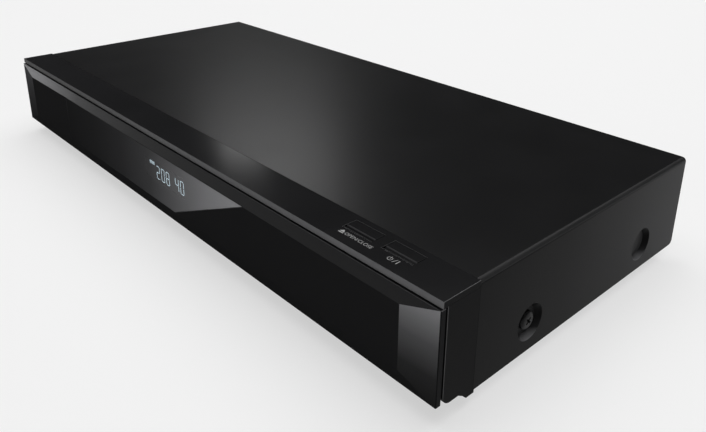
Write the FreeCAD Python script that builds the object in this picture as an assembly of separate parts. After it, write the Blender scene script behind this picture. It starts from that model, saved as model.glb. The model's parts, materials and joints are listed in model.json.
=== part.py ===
# A blu-ray recorder with a drop-down front flap, a disc drive, a hard drive and its electronics.
# Millimetres, +Z up, +Y to the rear. The origin is under the middle of the whole, on the surface it stands on.
import FreeCAD, Part
import math
import os

V = FreeCAD.Vector

# Whole body
body_width = 430.0
body_depth = 197.7
overall_height = 59.0
foot_height = 6.5
foot_radius = 13.0
sheet = 1.0
cover_bend = 1.6
wall = 2.3
touch_fit = 0.02
running_fit = 0.06
small_gap = 0.3

# Flap on the front
flap_ahead = 0.9
flap_crown = 1.4
flap_thick = 2.9
flap_side_gap = 0.3
flap_top_gap = 0.7
flap_side_bevel = 19.8
flap_top_bevel = 6.5
flap_bottom_bevel = 7.5
flap_behind_gap = 0.5
flap_skin = 1.4
flap_rim = 4.0

# Hinge of the flap
hinge_back = 7.5
hinge_height = 14.3
hinge_below = 4.0
hinge_round = 5.0
hinge_pin_radius = 1.5
lug_radius = 3.0
lug_width = 4.0
lug_inset = 4.0
lug_gap = 0.4
boss_width = 4.0
spring_length = 5.0
spring_wall = 0.9

# Glossy strip with the buttons
strip_depth = 21.6
strip_thick = 3.0
strip_skin = 2.0
button_width = 17.6
button_depth = 8.0
button_gap = 0.25
button_scoop = 2.7
button_scoop_drop = 1.1
button_travel = 0.6
button_flange = 0.8
open_button_x = body_width / 2 - 57.6
power_button_x = open_button_x + 24.0
button_back = 13.9

# Window and readout
window_left = -130.0
window_low_right = 16.9
window_high_right = 87.5
window_thick = 1.2
readout_left = -34.0
readout_right = 24.0
readout_low = 24.0
readout_high = overall_height - 17.0
sight_left = -38.0
sight_right = 31.0
sight_low = 25.5
sight_high = readout_high + 3.5

# Round dimples with the cover's screws
dimple_depth = 2.5
dimple_radius = 9.0
dimple_floor_radius = 6.8
dimple_height = 21.4
dimple_front = 59.3
dimple_rear = 158.0
screw_head_radius = 4.6
screw_head = 1.8
screw_radius = 1.6
screw_length = 7.0
rear_screw_length = 2.6
rear_tab_width = 10.0

# Rear panel and pan
panel_recess = 7.0
flange_height = 28.0

# Disc tray
tray_middle = 99.0 - body_width / 2
tray_width = 130.0
tray_back = 25.0
tray_length = 160.6
tray_high = overall_height - 6.5
tray_low = tray_high - 7.0
tray_lip = 2.3
tray_taper_start = 4.0
tray_taper_drop = 1.8
tray_taper_end = 12.0
tray_travel = 146.0
disc_radius = 61.0
disc_floor = tray_high - 2.9
small_disc_radius = 40.5
small_disc_drop = 0.9
disc_back = 65.0
rack_start = 17.0
rack_height = 2.5
rack_width = 3.5

# Loader
loader_floor = 12.0
loader_wall = 2.0
tray_side_gap = 1.0
loader_top = tray_high + 1.0
rail_width = 6.0
bridge_low = overall_height - 4.4
bridge_thick = 1.0
bridge_depth = 44.0

# Traverse that carries the spindle and the pickup, drawn at its raised place
lift_angle = 6.2
traverse_low = overall_height - 21.0
traverse_hinge_height = traverse_low
traverse_thick = 3.0
traverse_width = 72.0
seat_height = tray_high - 2.3
hub_height = seat_height + 2.7
sled_travel = 34.0

# Boards
board_thick = 1.6
board_height = 12.0


def box(x0, x1, y0, y1, z0, z1):
    return Part.makeBox(x1 - x0, y1 - y0, z1 - z0, V(x0, y0, z0))


def rod(x, y, z, radius, length, axis=(0, 0, 1)):
    return Part.makeCylinder(radius, length, V(x, y, z), V(*axis))


def tube(x, y, z, outer, inner, length, axis=(0, 0, 1)):
    return rod(x, y, z, outer, length, axis).cut(rod(x, y, z, inner, length, axis))


def join(first, *others):
    return first.fuse(list(others)).removeSplitter() if others else first


def polygon(points):
    return Part.makePolygon(points + [points[0]])


def prism_x(points, x0, x1):
    face = Part.Face(polygon([V(x0, y, z) for y, z in points]))
    return face.extrude(V(x1 - x0, 0, 0))


def prism_y(points, y0, y1):
    face = Part.Face(polygon([V(x, y0, z) for x, z in points]))
    return face.extrude(V(0, y1 - y0, 0))


def toothed_wheel(x, y, z, radius, depth, teeth, height, bore):
    """A spur wheel with straight-flanked teeth, standing on z."""
    root = radius - depth
    points = []
    for k in range(teeth):
        for share, r in ((-0.34, root), (-0.17, radius), (0.17, radius), (0.34, root)):
            angle = 2 * math.pi * (k + share) / teeth
            points.append(V(x + r * math.cos(angle), y + r * math.sin(angle), z))
    wheel = Part.Face(polygon(points)).extrude(V(0, 0, height))
    return wheel.cut(rod(x, y, z, bore, height))


def grid(start, step, count):
    return [start + step * k for k in range(count)]


def save(name, shape):
    for solid in shape.Solids:
        if not solid.isValid() or solid.Volume < 0.01:
            print("look at", name, solid.isValid(), solid.Volume)
    shape.exportStep("parts/" + name + ".step")
    print(name, len(shape.Solids), round(shape.Volume, 1))


# Places that follow from the sizes
half = body_width / 2
strip_front = -(body_depth - flap_ahead - flap_crown) / 2
cover_rear = strip_front + body_depth
seam = strip_front + strip_depth
screw_y = strip_front + dimple_front
strip_low = overall_height - strip_thick
cover_in_x = half - sheet
cover_in_top = overall_height - sheet
pan_side = cover_in_x - dimple_depth
pan_top = foot_height + sheet
panel_out = cover_rear - panel_recess
panel_in = panel_out - sheet

flap_face = strip_front - flap_ahead
flap_front = flap_face - flap_crown
flap_back = flap_face + flap_thick
flap_top = strip_low - flap_top_gap
flap_low = hinge_height - hinge_below
flap_half = half - flap_side_gap
hinge_y = strip_front + hinge_back
bezel_face = flap_back + flap_behind_gap
bezel_in = bezel_face + wall
bezel_floor = hinge_height - hinge_round + 2.0
cheek = 3.0
lip_low = foot_height - 1.4
lug_out = half - lug_inset
lug_in = lug_out - lug_width

tray_x0 = tray_middle - tray_width / 2
tray_x1 = tray_middle + tray_width / 2
tray_front = strip_front + tray_back
tray_tail = tray_front + tray_length
disc_y = tray_front + disc_back
loader_x0 = tray_x0 - tray_side_gap - loader_wall
loader_x1 = tray_x1 + tray_side_gap + loader_wall
loader_front = bezel_in + small_gap
loader_rear = tray_tail + 0.4 + loader_wall
traverse_front = disc_y - 22.3
traverse_hinge_y = tray_tail - 9.9
gear_y = tray_front + rack_start - 1.3
board_top = board_height + board_thick


# Casing

def top_cover():
    """One folded sheet: the top, both sides and the pressed screw dimples."""
    outer = box(-half, half, seam, cover_rear, foot_height, overall_height)
    edges = [e for e in outer.Edges if abs(e.CenterOfMass.z - overall_height) < 0.01
             and abs(e.CenterOfMass.x) > half - 1]
    outer = outer.makeFillet(cover_bend, edges)
    inner = box(-cover_in_x, cover_in_x, seam - 1, cover_rear + 1, foot_height - 1, cover_in_top)
    edges = [e for e in inner.Edges if abs(e.CenterOfMass.z - cover_in_top) < 0.01
             and abs(e.CenterOfMass.x) > half - 3]
    cover = outer.cut(inner.makeFillet(cover_bend - sheet, edges))
    for side in (-1, 1):
        for back in (dimple_front, dimple_rear):
            y = strip_front + back
            pressed = Part.makeCone(dimple_radius + 0.4, dimple_floor_radius + 0.8, dimple_depth,
                                    V(side * cover_in_x, y, dimple_height), V(-side, 0, 0))
            cover = cover.fuse(pressed)
            hollow = Part.makeCone(dimple_radius, dimple_floor_radius, dimple_depth,
                                   V(side * half, y, dimple_height), V(-side, 0, 0))
            cover = cover.cut(hollow)
        cover = cover.cut(rod(side * half, screw_y, dimple_height, screw_radius + touch_fit, 6,
                              (-side, 0, 0)))
    return cover


def side_screws():
    """A black cross-head screw in the front dimple of each side; the rear dimples are blind."""
    screws = []
    for side in (-1, 1):
        seat = side * (half - dimple_depth)
        head = Part.makeCone(screw_head_radius, screw_head_radius - 1.0, screw_head,
                             V(seat, screw_y, dimple_height),
                             V(side, 0, 0))
        shank = rod(seat, screw_y, dimple_height, screw_radius, screw_length, (-side, 0, 0))
        arm = box(-0.6, 0.6, -0.6, 0.6, -2.6, 2.6)
        other = box(-0.6, 0.6, -2.6, 2.6, -0.6, 0.6)
        cross = arm.fuse(other)
        cross.translate(V(seat + side * screw_head, screw_y, dimple_height))
        screws.append(head.fuse(shank).removeSplitter().cut(cross))
    return Part.makeCompound(screws)


def bottom_chassis():
    """The pan: floor with vent slots, side flanges and rear tabs."""
    pan = box(-pan_side, pan_side, seam, panel_out, foot_height, pan_top)
    flanges = []
    for side in (-1, 1):
        x0, x1 = sorted((side * pan_side, side * (pan_side - sheet)))
        flanges.append(box(x0, x1, seam + 2, panel_in, pan_top, pan_top + flange_height))
    for x in rear_tab_places():
        x0, x1 = x - rear_tab_width / 2, x + rear_tab_width / 2
        flanges.append(box(x0, x1, panel_in - sheet, panel_in, pan_top, pan_top + 14))
    pan = join(pan, *flanges)
    tools = []
    for x in grid(-20, 10, 14):
        for y in (seam + 24.1, seam + 54.1, seam + 84.1):
            tools.append(box(x - 1.6, x + 1.6, y, y + 22, 0, pan_top + 1))
    for x in grid(-150, 12, 7):
        for y in (seam + 64.1, seam + 98.1):
            tools.append(box(x - 1.6, x + 1.6, y, y + 24, 0, pan_top + 1))
    for side in (-1, 1):
        tools.append(rod(side * (pan_side + 1), screw_y, dimple_height, screw_radius + touch_fit, 4,
                         (-side, 0, 0)))
    for x in rear_tab_places():
        tools.append(rod(x, panel_in - 3, pan_top + 9, screw_radius + touch_fit, 5, (0, 1, 0)))
    for x, y in foot_places():
        tools.append(rod(x, y, 0, screw_radius + touch_fit, 12))
    return pan.cut(tools)


def rear_tab_places():
    return (16.0 - half, 115.0 - half, half - 57.0)


def foot_places():
    return [(side * (half - 38), y) for side in (-1, 1) for y in (seam + 18, panel_in - 22)]


def rear_screws():
    screws = []
    for x in rear_tab_places():
        z = pan_top + 9
        head = rod(x, panel_out, z, screw_head_radius - 0.8, 1.6, (0, 1, 0))
        cross = box(x - 0.5, x + 0.5, panel_out + 0.9, panel_out + 2, z - 2, z + 2)
        other = box(x - 2, x + 2, panel_out + 0.9, panel_out + 2, z - 0.5, z + 0.5)
        shank = rod(x, panel_out, z, screw_radius, rear_screw_length, (0, -1, 0))
        screws.append(head.fuse(shank).cut([cross, other]))
    return Part.makeCompound(screws)


def feet():
    """Four round feet, each with its spigot through the pan."""
    made = []
    for x, y in foot_places():
        foot = Part.makeCone(foot_radius - 1.0, foot_radius, foot_height, V(x, y, 0), V(0, 0, 1))
        foot = foot.cut(rod(x, y, 0, 3.5, 2.5))
        made.append(foot.fuse(rod(x, y, foot_height, screw_radius, sheet + 2)).removeSplitter())
    return Part.makeCompound(made)


# Boards between the drive and the right side
power_x1 = half - 6.0
power_x0 = power_x1 - 45.0
main_x1 = power_x0 - 12.0
main_width = 192.0
main_x0 = main_x1 - main_width

# Places of the sockets along the rear
inlet_x = half - 31.0
fan_x = main_x1 - 54.0
fan_size = overall_height - 19.0
fan_depth = 10.0
optical_x = fan_x + fan_size / 2 + 7.0
audio_x = optical_x + 12.0
hdmi_pitch = 19.0
hdmi_right = fan_x - fan_size / 2 - 11.0
hdmi_places = (hdmi_right - hdmi_pitch, hdmi_right)
network_x = hdmi_right - 39.0
rear_usb_x = network_x - 21.0
tuner_x = rear_usb_x - 27.0
socket_low = board_top
socket_out = 0.6
socket_gap = 0.1
usb_width = 14.0
usb_height = 7.0
hdmi_width = 15.0
hdmi_height = 6.0
network_width = 16.0
network_height = 13.5
optical_side = 10.0
inlet_width = 24.0
inlet_height = 17.0
fan_middle = board_top + 2.0 + fan_size / 2


def rear_panel():
    """Folded plate with a cut-out for every socket, the fan's grille and a row of vents."""
    side = cover_in_x - 0.4
    panel = box(-side, side, panel_in, panel_out, pan_top, cover_in_top)
    corners = [e for e in panel.Edges if abs(abs(e.CenterOfMass.x) - side) < 0.1
               and abs(e.CenterOfMass.z - cover_in_top) < 0.1]
    panel = panel.makeFillet(0.9, corners)
    low, high = panel_in - 1, panel_out + 1

    def cutout(x, width, height):
        w = width / 2 + socket_gap
        return box(x - w, x + w, low, high, socket_low, socket_low + height + socket_gap)

    tools = [cutout(inlet_x, inlet_width, inlet_height), cutout(network_x, network_width, network_height),
             cutout(rear_usb_x, usb_width, usb_height + 0.5), cutout(optical_x, optical_side, optical_side)]
    tools += [cutout(x, hdmi_width, hdmi_height) for x in hdmi_places]
    for z in antenna_heights():
        tools.append(rod(tuner_x, low, z, 6.1, 3, (0, 1, 0)))
    tools.append(rod(audio_x, low, socket_low + 7, 4.6, 3, (0, 1, 0)))
    for row in range(-3, 4):
        for column in range(-3, 4):
            if row * row + column * column < 13:
                tools.append(rod(fan_x + 5 * column, low, fan_middle + 5 * row, 2.0, 3, (0, 1, 0)))
    for x in grid(39 - half, 8, 13):
        tools.append(box(x - 1.5, x + 1.5, low, high, 30, overall_height - 11))
    for x in rear_tab_places():
        tools.append(rod(x, low, pan_top + 9, screw_radius + touch_fit, 3, (0, 1, 0)))
    return panel.cut(tools)


def antenna_heights():
    return (socket_low + 9.0, socket_low + 27.0)


def bezel_profile():
    """Side outline of the moulded front as one wire: rounded about the flap's hinge, with a lip under the pan."""
    a = V(0, bezel_face, strip_low)
    b = V(0, hinge_y - hinge_round, hinge_height)
    turn = hinge_round * math.sqrt(0.5)
    c = V(0, hinge_y - turn, hinge_height - turn)
    d = V(0, hinge_y, hinge_height - hinge_round)
    e = V(0, hinge_y + 4.8, hinge_height - hinge_round)
    f = V(0, hinge_y + 7.6, lip_low + 2.4)
    g = V(0, hinge_y + 10.0, lip_low)
    h = V(0, seam + 0.8, lip_low)
    i = V(0, seam + 0.8, foot_height)
    j = V(0, seam, foot_height)
    k = V(0, seam, strip_low)
    edges = [Part.makeLine(a, b), Part.Arc(b, c, d).toShape(), Part.makeLine(d, e)]
    for p, q in ((e, f), (f, g), (g, h), (h, i), (i, j), (j, k), (k, a)):
        edges.append(Part.makeLine(p, q))
    return Part.Wire(edges)


def front_bezel():
    """The moulding behind the flap: face, cheeks, floor, hinge bosses and the openings for tray, cards and readout."""
    body = Part.Face(bezel_profile()).extrude(V(body_width, 0, 0))
    body.translate(V(-half, 0, 0))
    hollow = box(-half + cheek, half - cheek, bezel_in, seam + 2, bezel_floor, overall_height)
    body = body.cut(hollow)
    extras = []
    for side in (-1, 1):
        x0, x1 = sorted((side * (lug_in - lug_gap), side * (lug_in - lug_gap - boss_width)))
        extras.append(box(x0, x1, bezel_in - 0.5, hinge_y + 4, bezel_floor - 0.5, hinge_height + 4))
    for x, z in readout_screw_places():
        extras.append(rod(x, bezel_in - 0.5, z, 2.2, readout_board_y() - bezel_in + 0.5, (0, 1, 0)))
    for x in (78.0, 124.0, 192.0):
        extras.append(box(x - 3, x + 3, bezel_in - 0.5, bezel_in + 8, bezel_floor - 0.5, io_board_low))
    for x in switch_post_places():
        extras.append(box(x - 1.5, x + 1.5, bezel_in - 0.5, bezel_in + 8, switch_board_low - 5,
                          switch_board_low))
    body = join(body, *extras)
    low, high = bezel_face - 6, bezel_in + 0.1
    tools = [box(readout_left, readout_right, low, high, readout_low, readout_high)]
    for x0, x1, z0, z1 in (tray_surround_edges(), socket_plate_edges()):
        top = z1 + 1 if z1 == strip_low else z1 + touch_fit
        tools.append(box(x0 - touch_fit, x1 + touch_fit, low, high, z0 - touch_fit, top))
    for side in (-1, 1):
        x0, x1 = sorted((side * (lug_in - lug_gap), side * (lug_out + lug_gap)))
        reach = lug_radius + 0.4
        tools.append(box(x0, x1, low, hinge_y + reach, 0, hinge_height + reach))
        start = side * (half - 1.5)
        length = lug_out - lug_in + 2 * lug_gap + boss_width + (half - 1.5 - lug_out - lug_gap) + 1
        tools.append(rod(start, hinge_y, hinge_height, hinge_pin_radius + touch_fit, length, (-side, 0, 0)))
    for x, z in readout_screw_places():
        tools.append(rod(x, bezel_in, z, 1.0 + touch_fit, 10, (0, 1, 0)))
    return body.cut(tools)


def tray_surround_edges():
    return tray_x0 - insert_border, tray_x1 + insert_border, tray_low - rack_height - insert_edge, strip_low


def socket_plate_edges():
    return usb_x - 10, ci_x + 30, io_board_top - 1, io_board_top + ci_pitch + 7.2 + insert_edge


def front_inserts():
    """Two inserts let into the moulding: the surround of the tray's mouth, and the plate with the socket openings."""
    low, high = bezel_face, bezel_in
    x0, x1, z0, z1 = tray_surround_edges()
    mouth = box(tray_x0 - tray_side_gap, tray_x1 + tray_side_gap, low - 1, high + 1, tray_low - 0.9,
                tray_high + 0.9)
    notch = box(rack_x() - 0.8, rack_x() + rack_width + 0.8, low - 1, high + 1,
                tray_low - rack_height - 0.7, tray_low)
    surround = box(x0, x1, low, high, z0, z1).cut([mouth, notch])
    x0, x1, z0, z1 = socket_plate_edges()
    holes = [box(usb_x - 7.1, usb_x + 7.1, low - 1, high + 1, io_board_top, io_board_top + 7.1),
             box(card_x - 13.6, card_x + 13.6, low - 1, high + 1, io_board_top, io_board_top + 3.7)]
    for k in range(2):
        z = io_board_top + 1 + k * ci_pitch
        holes.append(box(ci_x - 27.6, ci_x + 27.6, low - 1, high + 1, z, z + 6.2))
    return Part.makeCompound([surround, box(x0, x1, low, high, z0, z1).cut(holes)])


# Front boards
insert_border = 4.5
insert_edge = 2.2
usb_deep = 12.0
usb_tongue_width = 11.6
usb_tongue_low = 4.75
usb_tongue_high = 6.1
sd_width = 27.0
sd_height = 3.6
ci_width = 55.0
ci_depth = 56.0
usb_x = half - 130.0
card_x = half - 103.0
ci_x = half - 54.0
ci_pitch = 9.0
io_board_low = 14.0
io_board_top = io_board_low + board_thick
switch_board_low = overall_height - 9.0


def readout_board_y():
    return bezel_in + 0.2 + 4.3


def readout_screw_places():
    return [(x, z) for x in (readout_left - 6, readout_right + 14)
            for z in (readout_low - 5, readout_high + 3)]


def switch_post_places():
    return (open_button_x - 16, power_button_x + 13)


def control_strip():
    """The glossy strip on the top's front edge, pocketed below, with the two button windows."""
    strip = box(-half, half, strip_front, seam, strip_low, overall_height)
    ends = [e for e in strip.Edges if abs(e.CenterOfMass.z - overall_height) < 0.01
            and abs(e.CenterOfMass.x) > half - 1]
    strip = strip.makeFillet(0.5, ends)
    under = box(-half + 4, half - 4, bezel_in, seam - 2, strip_low - 1, overall_height - strip_skin)
    tools = [under]
    for x in (open_button_x, power_button_x):
        y = strip_front + button_back
        w, d = button_width / 2 + button_gap, button_depth / 2 + button_gap
        tools.append(box(x - w, x + w, y - d, y + d, strip_low - 1, overall_height + 1))
    return strip.cut(tools)


def button(x):
    """A key cap: flat top that dips at the front, a flange under the strip and a stem to its switch."""
    y = strip_front + button_back
    w, d = button_width / 2, button_depth / 2
    flange_high = overall_height - strip_skin - 0.05
    flange_low = flange_high - button_flange
    top = overall_height
    outline = [(y - d, flange_low), (y + d, flange_low), (y + d, top), (y - d + button_scoop, top),
               (y - d, top - button_scoop_drop)]
    cap = prism_x(outline, x - w, x + w)
    flange = box(x - w - 0.9, x + w + 0.9, y - d - 0.9, y + d + 0.9, flange_low, flange_high)
    stem = box(x - 1.5, x + 1.5, y - 1.5, y + 1.5, switch_top() + button_travel + 0.05, flange_low)
    return join(cap, flange, stem)


def switch_top():
    return switch_board_low + board_thick + 1.5


def switch_board():
    y = strip_front + button_back
    x0, x1 = switch_post_places()
    return box(x0 - 2, x1 + 2, bezel_in + 0.2, y + 5, switch_board_low, switch_board_low + board_thick)


def tact_switches():
    """Two small switches: square body and round plunger that the stems press."""
    made = []
    y = strip_front + button_back
    low = switch_board_low + board_thick
    for x in (open_button_x, power_button_x):
        made.append(join(box(x - 3, x + 3, y - 3, y + 3, low, low + 0.9), rod(x, y, low + 0.9, 1.4, 0.6)))
    return Part.makeCompound(made)


def front_flap():
    """Full-width flap: bevelled raised face, hollow back and a hinge lug at each end."""
    body = box(-flap_half, flap_half, flap_face, flap_back, flap_low, flap_top)
    outer = [V(-flap_half, flap_face, flap_low), V(flap_half, flap_face, flap_low),
             V(flap_half, flap_face, flap_top),
             V(-flap_half, flap_face, flap_top)]
    cx = flap_half - flap_side_bevel
    z0, z1 = flap_low + flap_bottom_bevel, flap_top - flap_top_bevel
    inner = [V(-cx, flap_front, z0), V(cx, flap_front, z0), V(cx, flap_front, z1), V(-cx, flap_front, z1)]
    crown = Part.makeLoft([polygon(outer), polygon(inner)], True, True)
    body = body.fuse(crown)
    pocket = box(-flap_half + flap_rim, flap_half - flap_rim, flap_face + flap_skin, flap_back + 1,
                 flap_low + flap_rim, flap_top - flap_rim)
    window = prism_y(window_outline(touch_fit), flap_front - 1, flap_front + window_thick)
    opening = box(sight_left, sight_right, flap_front, flap_back, sight_low, sight_high)
    body = body.cut([pocket, window, opening])
    lugs = []
    for side in (-1, 1):
        x0, x1 = sorted((side * lug_in, side * lug_out))
        bar = box(x0, x1, flap_face + flap_skin - 0.2, hinge_y, hinge_height - lug_radius,
                  hinge_height + lug_radius)
        lug = bar.fuse(rod(x0, hinge_y, hinge_height, lug_radius, lug_width, (1, 0, 0)))
        lugs.append(lug.cut(rod(x0 - 1, hinge_y, hinge_height, hinge_pin_radius + running_fit,
                                lug_width + 2, (1, 0, 0))))
    return join(body, *lugs)


def window_outline(grow=0.0):
    low = flap_low + flap_bottom_bevel
    high = flap_top - flap_top_bevel
    return [(window_left - grow, low), (window_low_right + grow, low), (window_high_right + grow, high),
            (window_left - grow, high)]


def display_window():
    """Smoked insert let into the raised face, cut slanting at its right end."""
    return prism_y(window_outline(), flap_front, flap_front + window_thick)


def flap_hinge_pins():
    pins = []
    for side in (-1, 1):
        length = half - 1.5 - 0.1 - (lug_in - lug_gap - boss_width) + spring_length + 0.6
        pins.append(rod(side * (half - 1.6), hinge_y, hinge_height, hinge_pin_radius, length, (-side, 0, 0)))
    return Part.makeCompound(pins)


def flap_springs():
    """Closing springs on the inner ends of the pins, each with a leg on the boss."""
    made = []
    for side in (-1, 1):
        start = side * (lug_in - lug_gap - boss_width)
        coil = tube(start, hinge_y, hinge_height, hinge_pin_radius + touch_fit + spring_wall,
                    hinge_pin_radius + touch_fit, spring_length, (-side, 0, 0))
        made.append(coil)
    return Part.makeCompound(made)


def display_module():
    """The glass readout unit that shows through the window."""
    return box(readout_left - 3, readout_right + 3, bezel_in + 0.2, readout_board_y(), readout_low - 1.5,
               readout_high + 1)


def display_board():
    places = readout_screw_places()
    x0, x1 = places[0][0] - 3, places[-1][0] + 3
    z0, z1 = readout_low - 8, readout_high + 4.5
    y = readout_board_y()
    board = box(x0, x1, y, y + board_thick, z0, z1)
    return board.cut([rod(x, y - 1, z, 1.0 + touch_fit, 4, (0, 1, 0)) for x, z in places])


def front_io_board():
    """Board behind the flap for the front socket and the card slots."""
    left = box(usb_x - 12, card_x + 16, bezel_in + 0.3, bezel_in + 18, io_board_low, io_board_top)
    right = box(card_x + 14, ci_x + 34, bezel_in + 0.3, bezel_in + 58, io_board_low, io_board_top)
    posts = [box(x - 4, x + 4, bezel_in + 48, bezel_in + 56, pan_top, io_board_low)
             for x in (card_x + 22, ci_x + 28)]
    return join(left, right, *posts)


def socket_can(x, y_mouth, y_back, z, width, height, hollow_depth, shell=0.5):
    """A metal socket: can with a mouth at y_mouth and a tongue inside."""
    y0, y1 = sorted((y_mouth, y_back))
    can = box(x - width / 2, x + width / 2, y0, y1, z, z + height)
    inward = 1 if y_back > y_mouth else -1
    m0, m1 = sorted((y_mouth - inward, y_mouth + inward * hollow_depth))
    can = can.cut(box(x - width / 2 + shell, x + width / 2 - shell, m0, m1, z + shell, z + height - shell))
    return can


def front_usb_socket():
    can = socket_can(usb_x, bezel_face + 0.3, bezel_face + 16, io_board_top, usb_width, usb_height, usb_deep)
    return join(can, usb_tongue(usb_x, bezel_face + 2.5, bezel_face + 12.5, io_board_top))


def usb_tongue(x, y0, y1, low):
    w = usb_tongue_width / 2
    return box(x - w, x + w, y0, y1, low + usb_tongue_low, low + usb_tongue_high)


def sd_card_slot():
    return socket_can(card_x, bezel_face + 0.4, bezel_face + 18, io_board_top, sd_width, sd_height, 15.0,
                      0.25)


def ci_slots():
    """Two card slots, one above the other, in one cage."""
    w = ci_width / 2
    high = io_board_top + 1 + ci_pitch + 7
    cage = box(ci_x - w - 1, ci_x + w + 1, bezel_in + 0.2, bezel_in + ci_depth, io_board_top, high)
    tools = []
    for k in range(2):
        z = io_board_top + 1 + k * ci_pitch
        tools.append(box(ci_x - w, ci_x + w, bezel_in - 1, bezel_in + ci_depth - 6, z + 0.1, z + 5.9))
    return cage.cut(tools)


# Disc drive

def disc_tray():
    """Drawer with the two disc wells, a slot for the spindle and pickup, and a rack below its left edge."""
    f = tray_front
    outline = [(f, tray_high), (f, tray_high - tray_lip),
               (f + tray_taper_start, tray_high - tray_lip - tray_taper_drop),
               (f + tray_taper_end, tray_low), (tray_tail, tray_low), (tray_tail, tray_high)]
    tray = prism_x(outline, tray_x0, tray_x1)
    slot = box(tray_middle - 23, tray_middle + 23, disc_y - 19, disc_y + 64, tray_low - 1, tray_high + 1)
    corners = [e for e in slot.Edges if abs(e.CenterOfMass.z - (tray_low + tray_high) / 2) < 0.2]
    slot = slot.makeFillet(8, corners)
    tray = tray.cut([rod(tray_middle, disc_y, disc_floor, disc_radius, 10),
                     rod(tray_middle, disc_y, disc_floor - small_disc_drop, small_disc_radius, 10), slot])
    under = box(tray_x0 + 8, tray_x1 - 8, disc_y + disc_radius + 3, tray_tail - 3, tray_low - 1,
                tray_high - 1.6)
    tray = tray.cut(under)
    return join(tray, tray_rack())


def rack_x():
    return tray_x0 + rail_width + 0.5


def tray_rack():
    x0 = rack_x()
    x1 = x0 + rack_width
    pitch, depth = 3.0, 1.2
    start = tray_front + rack_start
    count = int((tray_tail - start) / pitch)
    points = [(x0, start), (x1 - depth, start)]
    for k in range(count):
        y = start + k * pitch
        points += [(x1 - depth, y + 0.5), (x1, y + 1.0), (x1, y + 2.0), (x1 - depth, y + 2.5)]
    points += [(x0, start + count * pitch)]
    face = Part.Face(polygon([V(x, y, tray_low - rack_height) for x, y in points]))
    return face.extrude(V(0, 0, rack_height + 0.1))


def loader_frame():
    """Open frame of the drive: floor, walls, rails for the tray, hinge ears and the posts of the wheels."""
    x0, x1 = loader_x0, loader_x1
    frame = box(x0, x1, loader_front, loader_rear, loader_floor, loader_top)
    frame = frame.cut(box(x0 + loader_wall, x1 - loader_wall, loader_front - 1, loader_rear - loader_wall,
                          loader_floor + 2, loader_top + 1))
    window = box(tray_middle - 34, tray_middle + 34, traverse_front - 4, traverse_hinge_y - 8, 0, 20)
    frame = frame.cut(window)
    rail_high = tray_low - small_gap
    parts = []
    for a, b in ((x0 + loader_wall, x0 + loader_wall + rail_width),
                 (x1 - loader_wall - rail_width, x1 - loader_wall)):
        parts.append(box(a - 0.1, b, loader_front, loader_rear - 0.5, rail_high - 1.8, rail_high))
    gx, gy = drive_gear_place()
    px, py = pulley_place()
    parts.append(rod(gx, gy, loader_floor + 1, 1.5, tray_low - 1.0 - loader_floor))
    parts.append(tube(gx, gy, loader_floor + 1, 3, 1.4, gear_low() - 0.3 - loader_floor - 1))
    parts.append(rod(px, py, loader_floor + 1, 1.5, gear_low() + 5 - loader_floor - 1))
    parts.append(tube(px, py, loader_floor + 1, 3, 1.4, pulley_low() - 0.3 - loader_floor - 1))
    for side in (-1, 1):
        x = tray_middle + side * (traverse_width / 2 + 3.2)
        ear = box(x - 2, x + 2, traverse_hinge_y - 4, traverse_hinge_y + 4, loader_floor + 1,
                  traverse_hinge_height + 4)
        hole = rod(x - 3, traverse_hinge_y, traverse_hinge_height, 2.0 + running_fit, 6, (1, 0, 0))
        parts.append(ear.cut(hole))
    for x in (x0 + 5, x1 - 5):
        for y in (loader_front + 24, loader_rear - 8):
            parts.append(rod(x, y, pan_top, 4, loader_floor + 1 - pan_top))
    mx, my = motor_place()
    for side in (-1, 1):
        parts.append(box(mx - 2, mx + 2, my + side * 11.4 - 1, my + side * 11.4 + 1, loader_floor + 1,
                         loader_floor + 7))
    return join(frame, *parts)


def drive_gear_place():
    return rack_x() + rack_width + 12.2, gear_y


def pulley_place():
    x, y = drive_gear_place()
    return x + 22.3, y


def motor_place():
    x, y = pulley_place()
    return x + 38.0, y


def gear_low():
    return loader_floor + 18.0


def pulley_low():
    return gear_low() - 6.0


def tray_drive_gear():
    """Compound wheel: a large lower wheel and an upper pinion that drives the tray's rack."""
    x, y = drive_gear_place()
    bore = 1.5 + running_fit
    lower = toothed_wheel(x, y, gear_low(), 16.0, 1.4, 44, 4.0, bore)
    upper = toothed_wheel(x, y, tray_low - rack_height + 0.2, 12.0, 1.6, 24, 2.0, bore)
    hub = tube(x, y, gear_low() + 4.0, 5.0, bore, tray_low - rack_height + 0.2 - gear_low() - 4.0)
    return join(lower, hub, upper)


def loading_pulley():
    """Belt pulley with the small pinion above it."""
    x, y = pulley_place()
    bore = 1.5 + running_fit
    disc = tube(x, y, pulley_low(), 13.0, bore, 5.0)
    groove = tube(x, y, pulley_low() + 1.4, 14.0, 11.4, 2.2)
    pinion = toothed_wheel(x, y, pulley_low() + 5.0, 6.0, 1.4, 15, 5.0, bore)
    return join(disc.cut(groove), pinion)


def loading_motor():
    x, y = motor_place()
    high = pulley_low() - 1.4
    can = rod(x, y, loader_floor + 2, 10.0, high - loader_floor - 2)
    return join(can, rod(x, y, high, 3.0, 0.8), rod(x, y, high + 0.8, 1.0, 5.2))


def motor_pulley():
    x, y = motor_place()
    body = tube(x, y, pulley_low(), 4.6, 1.0 + touch_fit + 0.03, 4.6)
    return body.cut(tube(x, y, pulley_low() + 1.4, 5.0, 3.4, 2.2))


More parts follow.
